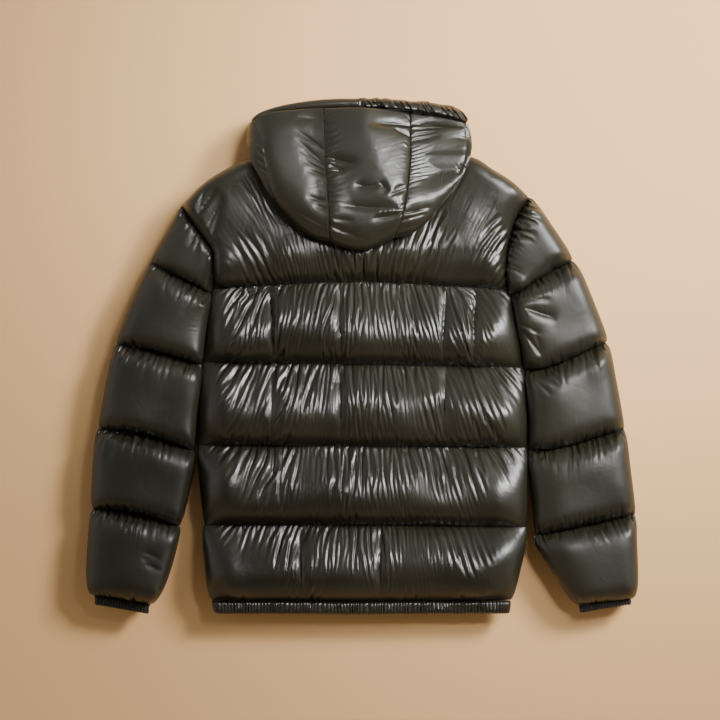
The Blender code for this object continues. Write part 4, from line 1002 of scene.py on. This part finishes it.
hoodRim = {
    "width": 0.175, "length": 0.017, "cellX": 0.0013, "cellY": 0.0014, "seamGap": 0.0006, "seamFade": 0.006,
    "loft": 0.0175, "edge": 0.65, "ends": 0.008, "tilt": 0.30, "from": 0.03, "ceiling": 0.03, "hold": 0.05,
    "pleat": 0.0036, "pleatPitch": 0.0095, "pleatSlant": 0.8, "pleatWander": 0.6,
    "pleatEdge": 0.006, "pleatLoft": 0.010,
    "gather": 0.17, "gatherBase": 0.015, "gatherFrom": -0.005, "gatherReach": 0.05, "lean": 0.25, "stray": 0.002,
}
rimEdge = [(-0.1720, 0.3685), (-0.158, 0.380), (-0.118, 0.392), (-0.058, 0.400), (0.001, 0.401), (0.061, 0.399),
           (0.121, 0.392), (0.152, 0.382), (0.1665, 0.3680)]
rimSeam = [(-0.1690, 0.3650), (-0.142, 0.3775), (-0.106, 0.382), (-0.0593, 0.3850), (0.001, 0.3855),
           (0.0752, 0.3815), (0.121, 0.374), (0.1630, 0.3630)]
leftHoodSeam = [(-0.0593, 0.3850), (-0.0560, 0.3050), (-0.0505, 0.2300), (-0.0493, 0.1780)]
rightHoodSeam = [(0.0752, 0.3815), (0.0765, 0.3550), (0.0735, 0.2840), (0.0640, 0.2200), (0.0495, 0.1845)]
leftHoodSide = [(-0.1715, 0.3640), (-0.1755, 0.3280), (-0.168, 0.301), (-0.146, 0.260)]
rightHoodSide = [(0.1655, 0.3620), (0.1715, 0.3320), (0.1680, 0.3080), (0.157, 0.282), (0.140, 0.263)]
leftCrown = [(-0.146, 0.260), (-0.118, 0.225), (-0.082, 0.191), (-0.0493, 0.1780)]
centreCrown = [(-0.0493, 0.1780), (0.001, 0.166), (0.0495, 0.1845)]
rightCrown = [(0.0495, 0.1845), (0.092, 0.201), (0.116, 0.234), (0.140, 0.263)]
hoodUnderside = [(0.150, 0.0703), (0.300, 0.0703), (0.312, 0.0680), (0.324, 0.0580), (0.337, 0.0363), (0.410, 0.0363)]
hoodFolds = [  # start x, y, reach x, y, width on the left, on the right, depth; a negative depth is a ridge
    # crown crease with its facet, and the creases below it
    (-0.0300, 0.2330, 0.0960, -0.0070, 0.0040, 0.0014, 0.0040),
    (0.0050, 0.2230, 0.0600, 0.0030, 0.0060, 0.0020, -0.0030),
    (0.0140, 0.2130, 0.0480, 0.0080, 0.0030, 0.0020, 0.0030),
    (-0.0500, 0.2020, 0.0480, -0.0160, 0.0030, 0.0015, 0.0040),
    (-0.0460, 0.2130, 0.0360, -0.0030, 0.0030, 0.0020, 0.0020),
    (-0.0300, 0.1900, 0.0420, -0.0080, 0.0030, 0.0020, 0.0022),
    # crumple on the crown
    (-0.0110, 0.2650, 0.0300, -0.0050, 0.0030, 0.0014, 0.0028),
    (0.0060, 0.2610, 0.0260, 0.0030, 0.0020, 0.0014, 0.0024),
    (0.0260, 0.2700, 0.0160, -0.0180, 0.0030, 0.0014, 0.0034),
    (0.0440, 0.2480, 0.0260, 0.0110, 0.0030, 0.0014, 0.0034),
    (0.0480, 0.2560, 0.0180, 0.0080, 0.0020, 0.0014, 0.0022),
    # folds that run out of the left seam
    (-0.0560, 0.3080, 0.0460, -0.0120, 0.0040, 0.0016, 0.0044),
    (-0.0540, 0.2990, 0.0300, -0.0150, 0.0030, 0.0020, 0.0022),
    (-0.0540, 0.2800, 0.0200, 0.0060, 0.0020, 0.0014, 0.0020),
    (-0.1160, 0.3560, 0.0640, -0.0400, 0.0030, 0.0016, 0.0026),
    (-0.1120, 0.3420, 0.0540, -0.0440, 0.0030, 0.0016, 0.0024),
    (-0.1060, 0.3250, 0.0520, -0.0340, 0.0030, 0.0018, 0.0022),
    (-0.1020, 0.3090, 0.0480, -0.0260, 0.0030, 0.0016, 0.0020),
    (-0.0920, 0.2900, 0.0380, -0.0130, 0.0030, 0.0020, 0.0022),
    (-0.0900, 0.2460, 0.0370, -0.0060, 0.0040, 0.0014, 0.0028),
    (-0.0800, 0.2340, 0.0280, -0.0070, 0.0030, 0.0020, 0.0022),
    (-0.1120, 0.2300, 0.0580, -0.0300, 0.0035, 0.0018, 0.0030),
    (-0.1020, 0.2150, 0.0500, -0.0230, 0.0030, 0.0020, 0.0026),
    (-0.0880, 0.2030, 0.0380, -0.0160, 0.0030, 0.0020, 0.0022),
    (-0.1100, 0.3690, 0.0500, -0.0050, 0.0030, 0.0020, 0.0022),
    # tucked pockets below the rim, right of the middle
    (0.0100, 0.3590, 0.0720, -0.0020, 0.0090, 0.0012, 0.0080),
    (0.0460, 0.3540, 0.0300, -0.0140, 0.0040, 0.0012, 0.0036),
    (0.0180, 0.3700, 0.0240, -0.0120, 0.0030, 0.0012, 0.0020),
    (0.0700, 0.3600, 0.0930, -0.0030, 0.0090, 0.0012, 0.0085),
    (0.0780, 0.3520, 0.0560, 0.0030, 0.0030, 0.0014, 0.0034),
    (0.0780, 0.3420, 0.0420, 0.0070, 0.0020, 0.0020, 0.0020),
    (0.0780, 0.3340, 0.0460, 0.0090, 0.0020, 0.0020, 0.0018),
    # folds at the right of the crown
    (0.0620, 0.2200, 0.0460, 0.0120, 0.0040, 0.0018, 0.0050),
    (0.0540, 0.2080, 0.0480, 0.0150, 0.0030, 0.0018, 0.0036),
    (0.0540, 0.1980, 0.0360, 0.0080, 0.0030, 0.0018, 0.0030),
    # creases in the band on the left
    (-0.1640, 0.3480, 0.0150, -0.0130, 0.0020, 0.0014, 0.0020),
    (-0.1650, 0.3360, 0.0160, -0.0150, 0.0020, 0.0014, 0.0022),
    (-0.1660, 0.3240, 0.0180, -0.0160, 0.0020, 0.0014, 0.0022),
    (-0.1660, 0.3110, 0.0190, -0.0150, 0.0020, 0.0014, 0.0022),
    (-0.1620, 0.2980, 0.0200, -0.0150, 0.0020, 0.0014, 0.0020),
]
hoodBands = [  # the front edges are turned under, and a seam shows beside each: points, reach, depth
    ([(-0.1670, 0.3660), (-0.1560, 0.3420), (-0.1490, 0.3180), (-0.1430, 0.2860), (-0.1370, 0.2600),
      (-0.1280, 0.2340), (-0.1080, 0.2100)], 0.0013, 0.0018),
    ([(0.1620, 0.3560), (0.1630, 0.3300), (0.1590, 0.3060), (0.1500, 0.2850)], 0.0013, 0.0012),
]
hoodFacet = {"from": (0.0020, 0.3790), "to": (0.0460, 0.2600), "right": 0.51, "left": 0.10, "rise": 0.0065,
             "reach": 0.064, "soft": 0.009, "fade": 1.45}


def facetDrop(x, y):  # the middle leans away from a soft ridge, most to its right
    (fromX, fromY), (toX, toY) = hoodFacet["from"], hoodFacet["to"]
    reachX, reachY = toX - fromX, toY - fromY
    length = math.hypot(reachX, reachY)
    along = ((x - fromX) * reachX + (y - fromY) * reachY) / length ** 2
    beside = -((x - fromX) * reachY - (y - fromY) * reachX) / length
    ending = hoodFacet["soft"] * np.log1p(np.exp((beside - hoodFacet["reach"]) / hoodFacet["soft"]))
    falling = np.where(beside > 0, hoodFacet["right"] * (beside - ending),
                       -hoodFacet["left"] * np.maximum(beside, -hoodFacet["reach"])) - hoodFacet["rise"]
    fade = np.clip((hoodFacet["fade"] - along) / (hoodFacet["fade"] - 1), 0, 1)
    return falling * fade * fade * (3 - 2 * fade)


def hoodCreased(panel, name, seed):  # creases and the seams of the turned edges, with their gathers
    creased = creaseRelief([fold for fold in hoodFolds if fold[6] > 0], panel.x, panel.y, name == "hoodLeft")
    gathers = []
    for points, reach, depth in hoodBands:
        away = lineDistance(smoothLine(points, np.linspace(0, 1, 40)), panel.x, panel.y)
        creased = np.maximum(creased, depth * np.exp(-(away / reach) ** 1.3))
        strength = hood["bandGather"] * np.exp(-away / hood["bandFade"])
        gathers.append((strength * uneven(panel, 0.02, seed + 4), panel.y + hood["bandLean"] * panel.x))
    return creased, gathers


def hoodSeams(panel, name, seams, seed):  # seams: whether a seam is on the left and on the right
    depth, gathers = np.zeros_like(panel.x), []
    for present, distance, lean in zip(seams, (panel.fromLeft, panel.fromRight), hood["seamLeans"]):
        if present:
            depth = np.maximum(depth, np.exp(-(distance / hood["seamWidth"])))
            strength = hood["gatherBase"] + hood["gather"] * np.exp(-distance / hood["gatherFade"])
            gathers.append((strength * uneven(panel, 0.03, seed + 2), panel.y - lean * distance))
    return hood["seamDepth"][name] * depth, gathers


def buildHoodPanel(name, node, top, bottom, left, right, across, down, seams, seed):
    size = hood
    panel = Panel([top, bottom], [left], [right], across, [down])
    fractions = np.linspace(0, 1, 30, endpoint=False)
    edge = np.vstack([smoothLine(line, fractions) for line in
                      (leftHoodSide, leftCrown, centreCrown, rightCrown, rightHoodSide[::-1])])
    fromFold = lineDistance(edge, panel.x, panel.y)
    inside = np.interp(panel.y, *zip(*hoodUnderside))
    falling = np.maximum((panel.y - size["topY"]) / (size["rimSeamY"] - size["topY"]), 0)
    crown = size["top"] - size["fall"] * falling - size["rimFall"] * falling ** size["rimPower"]
    crown = crown - facetDrop(panel.x, panel.y)
    lift = np.minimum(size["foldHeight"], np.maximum(crown - inside, 0.004) * 0.5)
    toRight = rounded(np.maximum(panel.x - size["rightFrom"], 0), size["rightReach"], 2.0)
    fullness = rounded(fromFold, size["flank"] + size["rightFlank"] * toRight, 2.2)
    atFold = size["gather"] * size["foldGather"] * np.exp(-fromFold / size["foldFade"])
    seamed, seamGathers = hoodSeams(panel, name, seams, seed)
    creased, bandGathers = hoodCreased(panel, name, seed)
    gathers = [(atFold * uneven(panel, 0.03, seed), panel.fromLeft)] + seamGathers + bandGathers
    ridges = creaseRelief([(*fold[:6], -fold[6]) for fold in hoodFolds if fold[6] < 0], panel.x, panel.y)
    height = inside + lift + np.maximum(crown - inside - lift, 0) * fullness
    height = np.maximum(height - (seamed + creased - ridges) * np.maximum(fullness, 0.7),
                        inside + np.minimum(lift, 0.0035))
    flat = size["flatBeside"] * (name == "hoodLeft") * np.exp(-(panel.fromRight / size["flatReach"]) ** 2)
    settled = pillow(panel, height, gathers, seed, size["ceiling"], firm=np.maximum(heldDown(creased), flat))
    settled = settled.astype(float)
    settled[..., 2] = np.maximum(settled[..., 2], inside + np.minimum(lift, size["leastLift"]))
    rolled = (1 - rounded(fromFold, size["foldFlank"])) * (fromFold < size["foldFlank"])
    under = np.dstack([settled[..., :2], inside + (settled[..., 2] - inside) * rolled])
    settled, under = shifted(settled), shifted(under)
    grain = grainOf(panel.y - 0.3 * panel.x, panel, 0.10 + sum(strength for strength, _ in gathers) / 0.30)
    beside = [int(np.abs(distance[0] - size["stitchInset"]).argmin())
              for present, distance in zip(seams, (panel.fromLeft, panel.fromRight)) if present]
    sew("stitchesHood", settled.transpose(1, 0, 2), beside)
    piece = shellMesh(name, settled, under, nylon, grain)
    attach(piece, "jacket")
    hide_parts(node)
    say(f"{name}: {settled.shape[0]} x {settled.shape[1]}")


def buildRim():
    size = hoodRim
    steps = rowSteps(size["length"], size["loft"], size["cellY"])
    across = np.linspace(0, 1, 2 * int(size["width"] / size["cellX"]) + 1)
    top, bottom = smoothLine(rimEdge, across), smoothLine(rimSeam, across) + (0, size["seamGap"])
    panel = Panel([top, bottom], [smoothLine([top[0], bottom[0]], steps)], [smoothLine([top[-1], bottom[-1]], steps)],
                  across, [steps])
    toRight = rounded(np.maximum(panel.x, 0), size["from"])
    height = size["loft"] * rounded(panel.seamDistance, panel.halfRow * size["edge"])
    height = height * np.minimum(1, panel.halfRow / size["ends"])
    height *= 1 + size["tilt"] * toRight * (panel.phase - 0.5)
    slanted = panel.x + size["pleatSlant"] * panel.y
    turn = slanted / size["pleatPitch"] + size["pleatWander"] * valueNoise(slanted / 0.014, 0 * panel.y, 63)
    pleats = (1 - turn + np.floor(turn)) * toRight * rounded(panel.seamDistance, size["pleatEdge"])
    height += size["pleat"] * pleats * np.minimum(1, height / size["pleatLoft"])
    base = edgeBase(panel, size["seamFade"])
    base[0] = garment["thinnest"]
    ruched = rounded(np.maximum(panel.x - size["gatherFrom"], 0), size["gatherReach"])
    ruched = size["gatherBase"] + size["gather"] * ruched
    lineAt = panel.x + size["lean"] * panel.y + size["stray"] * valueNoise(panel.x / 0.010, panel.y / 0.006, 62)
    settled = pillow(panel, base + height, [(ruched * uneven(panel, 0.012, 61, 0.7), lineAt)], 61, size["ceiling"],
                     "levelsRim", size["hold"] * toRight)
    dress("hoodRim", "hood_rim", settled, grainOf(panel.x, panel, ruched / 0.2), nylon)


def buildHood():
    cell = garment["cell"] * hood["cellShare"]
    across = evenSteps(hood["width"], 0.040, 0.010, 0.035, cell)
    acrossRight = 1 - across[::-1]
    acrossCentre = evenSteps(hood["centreWidth"], 0.010, 0.010, 0.006, cell)
    down = evenSteps(hood["length"], 0.010, 0.042, 0.040, cell)
    gap = np.array([hood["gap"], 0])
    leftSeam, rightSeam = smoothLine(leftHoodSeam, down), smoothLine(rightHoodSeam, down)
    buildHoodPanel("hoodLeft", "hood_left", smoothLine([leftHoodSide[0]] + rimSeam[1:4], across) - gap,
                   smoothLine(leftCrown, across) - gap, smoothLine(leftHoodSide, down) - gap, leftSeam - gap,
                   across, down, (False, True), 51)
    buildHoodPanel("hoodCentre", "hood_centre", smoothLine(rimSeam[3:6], acrossCentre),
                   smoothLine(centreCrown, acrossCentre), leftSeam, rightSeam, acrossCentre, down, (True, True), 53)
    buildHoodPanel("hoodRight", "hood_right", smoothLine(rimSeam[5:7] + [rightHoodSide[0]], acrossRight) + gap,
                   smoothLine(rightCrown, acrossRight) + gap, rightSeam + gap, smoothLine(rightHoodSide, down) + gap,
                   acrossRight, down, (True, False), 57)
    buildRim()


buildBack()
for side in ("left", "right"):
    buildNeck(side, buildFront(side))
for layer in ("upper", "under"):
    buildSleeve("left", leftSleeveSeams, leftSleeveSwells, layer)
    buildSleeve("right", rightSleeveSeams, rightSleeveSwells, layer)
buildHem()
buildHood()

# cuffs: two layers of ribbed knit lying on each other
cuff = {"halfHeight": 0.0070, "wall": 0.0030, "roundness": 0.55, "around": 96, "ribPitch": 0.0046, "ribWidth": 0.0034,
        "ribProud": 0.0022, "flat": (0.190, 0.0125)}
leftCuffEdge = (-0.4130, -0.3875, -0.3740, -0.3940, -0.3350, -0.4015)
rightCuffEdge = (0.3440, -0.4000, 0.3830, -0.3940, 0.4200, -0.3865)
cuffSections = [(0.0, 0.70, False), (0.15, 0.92, False), (0.5, 0.95, False), (0.85, 0.92, False), (0.97, 0.80, False),
                (1.0, 0.60, False), (1.0, 0, True), (0.5, 0, True), (0.0, 0, True)]  # down, fullness, inside


def buildCuff(side, seam, edge):
    angle = 2 * np.pi * np.arange(cuff["around"]) / cuff["around"]
    flat = 0.5 - 0.5 * np.cos(angle)
    lift = np.sign(np.sin(angle)) * np.abs(np.sin(angle)) ** cuff["roundness"]
    middle = garment["innerPlane"] + garment["pieceGap"] / 2
    ends = np.array([0.0, 1.0])
    top, bottom = seamLine(seam, ends) + (0, -garment["sideGap"]), seamLine(edge, ends)

    def ring(down, fullness, inside, inset=0.0):
        left, right = [(1 - down) * top[end] + down * bottom[end] for end in (0, 1)]
        inset = (cuff["wall"] if inside else inset) / np.linalg.norm(right - left)
        fraction = inset + (1 - 2 * inset) * flat
        place = np.outer(1 - fraction, left) + np.outer(fraction, right)
        height = lift * (garment["pieceGap"] if inside else cuff["halfHeight"] * fullness)
        return np.column_stack([place + (garment["shiftX"], garment["shiftY"]), middle + height])

    rings = [ring(*section) for section in cuffSections]
    count, around = len(rings), cuff["around"]
    faces = [(here * around + k, here * around + (k + 1) % around, (here + 1) % count * around + (k + 1) % around,
              (here + 1) % count * around + k) for here in range(count) for k in range(around)]
    piece = closedMesh("cuff" + side.title(), np.vstack(rings).tolist(), faces, cuffKnit, 1.0)
    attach(piece, "jacket")
    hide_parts("cuff_" + side)
    loop = ring(0.52, 0.95, False, 0.0012)
    across = np.linalg.norm((top + bottom)[0] - (top + bottom)[1]) / 2
    length = np.linalg.norm(bottom - top, axis=1).mean()
    ribs = rowAlong("cuffRibs" + side.title(), [np.vstack([loop, loop[:1]])], beadRow, cuffKnit, "elastic_knit",
                    Spacing=cuff["ribPitch"], Size=(cuff["ribWidth"], length * 1.05, 2 * cuff["ribProud"]))
    say(f"{piece.name}: {across:.4f} wide")


# the zip, underneath: teeth on woven tapes, the slider at the neck
zipper = {"pitch": 0.0025, "tooth": (0.0014, 0.0034, 0.0022), "middle": 0.0329, "start": -0.3995, "end": 0.3455,
          "offset": 0.0009}


def buildZip():
    lines = []
    for side, start in ((-1, 0.0), (1, zipper["pitch"] / 2)):
        x = side * zipper["offset"] + garment["shiftX"]
        ends = zipper["start"] + start, zipper["end"] - zipper["pitch"] + start
        lines.append([(x, end, zipper["middle"]) for end in ends])
    teeth = rowAlong("zipTeeth", lines, blockRow, zipMetal, "zip_metal", Spacing=zipper["pitch"],
                     Size=zipper["tooth"], Unevenness=0.01)
    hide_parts("zip_chain")
    for node, finish, slot in (("zip_tape_left", tapeWeave, "zip_tape"), ("zip_tape_right", tapeWeave, "zip_tape"),
                               ("zip_slider", zipMetal, "zip_metal"), ("zip_pull", zipMetal, "zip_metal")):
        nodes[node].data.materials.clear()
        nodes[node].data.materials.append(finish)


buildCuff("left", leftSleeveSeams[-1], leftCuffEdge)
buildCuff("right", rightSleeveSeams[-1], rightCuffEdge)
buildZip()
for name, lines in sewnLines.items():
    rowAlong(name, lines, beadRow, threadFinish, "shell_nylon", Spacing=sewing["pitch"],
             Size=(sewing["length"], sewing["thickness"], sewing["thickness"]))

for name, node in nodes.items():  # what lies under a finished piece has the same finish
    if name.startswith("zip") and name != "zip_chain":
        continue
    finish, slot = nylon, "shell_nylon"
    if name.startswith("cuff"):
        finish, slot = cuffKnit, "elastic_knit"
    if name == "zip_chain":
        finish, slot = zipMetal, "zip_metal"
    node.data.materials.clear()
    node.data.materials.append(finish)

# floor, lights and camera
studio = {
    "floor": (0.97, 0.575, 0.245), "zenith": 0.14, "walls": 1.06, "right": -0.05, "south": 0.48, "north": 0.48,
    "southColour": (1.0, 0.78, 0.50), "northColour": (0.96, 0.98, 1.0),
}


def areaLight(name, place, target, sizeX, sizeY, power, spread=180, colour=(1, 1, 1)):
    data = bpy.data.lights.new(name, "AREA")
    data.shape, data.size, data.size_y, data.energy, data.color = "RECTANGLE", sizeX, sizeY, power, colour
    data.spread = math.radians(spread)
    light = bpy.data.objects.new(name, data)
    light.location = place
    light.rotation_euler = (Vector(target) - Vector(place)).to_track_quat("-Z", "Y").to_euler()
    bpy.context.scene.collection.objects.link(light)
    return light


areaLight("keyLight", (2.0, 1.4, 1.9), (0, 0, 0), 0.8, 0.8, 121)
areaLight("topLight", (1.00, 1.00, 1.9), (0.30, 0.36, 0), 1.1, 1.1, 4.2, 26)

floorMesh = bpy.data.meshes.new("floor")
floorMesh.from_pydata([(-4, -4, 0), (4, -4, 0), (4, 4, 0), (-4, 4, 0)], [], [(0, 1, 2, 3)])
floor = bpy.data.objects.new("floor", floorMesh)
floorMesh.materials.append(principled("paleFloor", studio["floor"], 0.6))
bpy.context.scene.collection.objects.link(floor)
floor.location.z = -0.0002

world = bpy.data.worlds.new("studio")
world.use_nodes = True
tree = world.node_tree
direction = addNode(tree, "ShaderNodeSeparateXYZ", {0: addNode(tree, "ShaderNodeTexCoord").outputs["Generated"]})


def graded(axis, start, end, low, high):
    grade = addNode(tree, "ShaderNodeMapRange", {"Value": direction.outputs[axis], "From Min": start, "From Max": end,
                                                 "To Min": low, "To Max": high}, interpolation_type="SMOOTHSTEP")
    return grade.outputs[0]


def product(first, second):
    return addNode(tree, "ShaderNodeMath", {0: first, 1: second}, operation="MULTIPLY").outputs[0]


shade = graded("Z", 0.12, 0.88, studio["walls"], studio["zenith"])
shade = product(shade, graded("Y", -0.7, 0.0, studio["south"], 1.0))
shade = product(shade, graded("Y", 0.25, 0.80, 1.0, studio["north"]))
shade = product(shade, graded("X", -0.6, 0.6, 1.0 - studio["right"], 1.0 + studio["right"]))
tint = addNode(tree, "ShaderNodeValToRGB", {"Fac": graded("Y", -0.6, 0.3, 0.0, 1.0)})
tint.color_ramp.elements[0].color = (*studio["southColour"], 1)
tint.color_ramp.elements[1].color = (*studio["northColour"], 1)
background = tree.nodes["Background"]
tree.links.new(shade, background.inputs["Strength"])
tree.links.new(tint.outputs["Color"], background.inputs["Color"])
bpy.context.scene.world = world

view = {"sensor": 36, "distance": 6.0, "across": 1.1232, "middle": (-0.0029, -0.0048), "focus": 0.045}
cameraData = bpy.data.cameras.new("camera")
cameraData.sensor_width = view["sensor"]
cameraData.lens = view["sensor"] * view["distance"] / view["across"]
camera = bpy.data.objects.new("camera", cameraData)
camera.location = (*view["middle"], view["distance"] + view["focus"])
bpy.context.scene.collection.objects.link(camera)
bpy.context.scene.camera = camera

say("scene made")
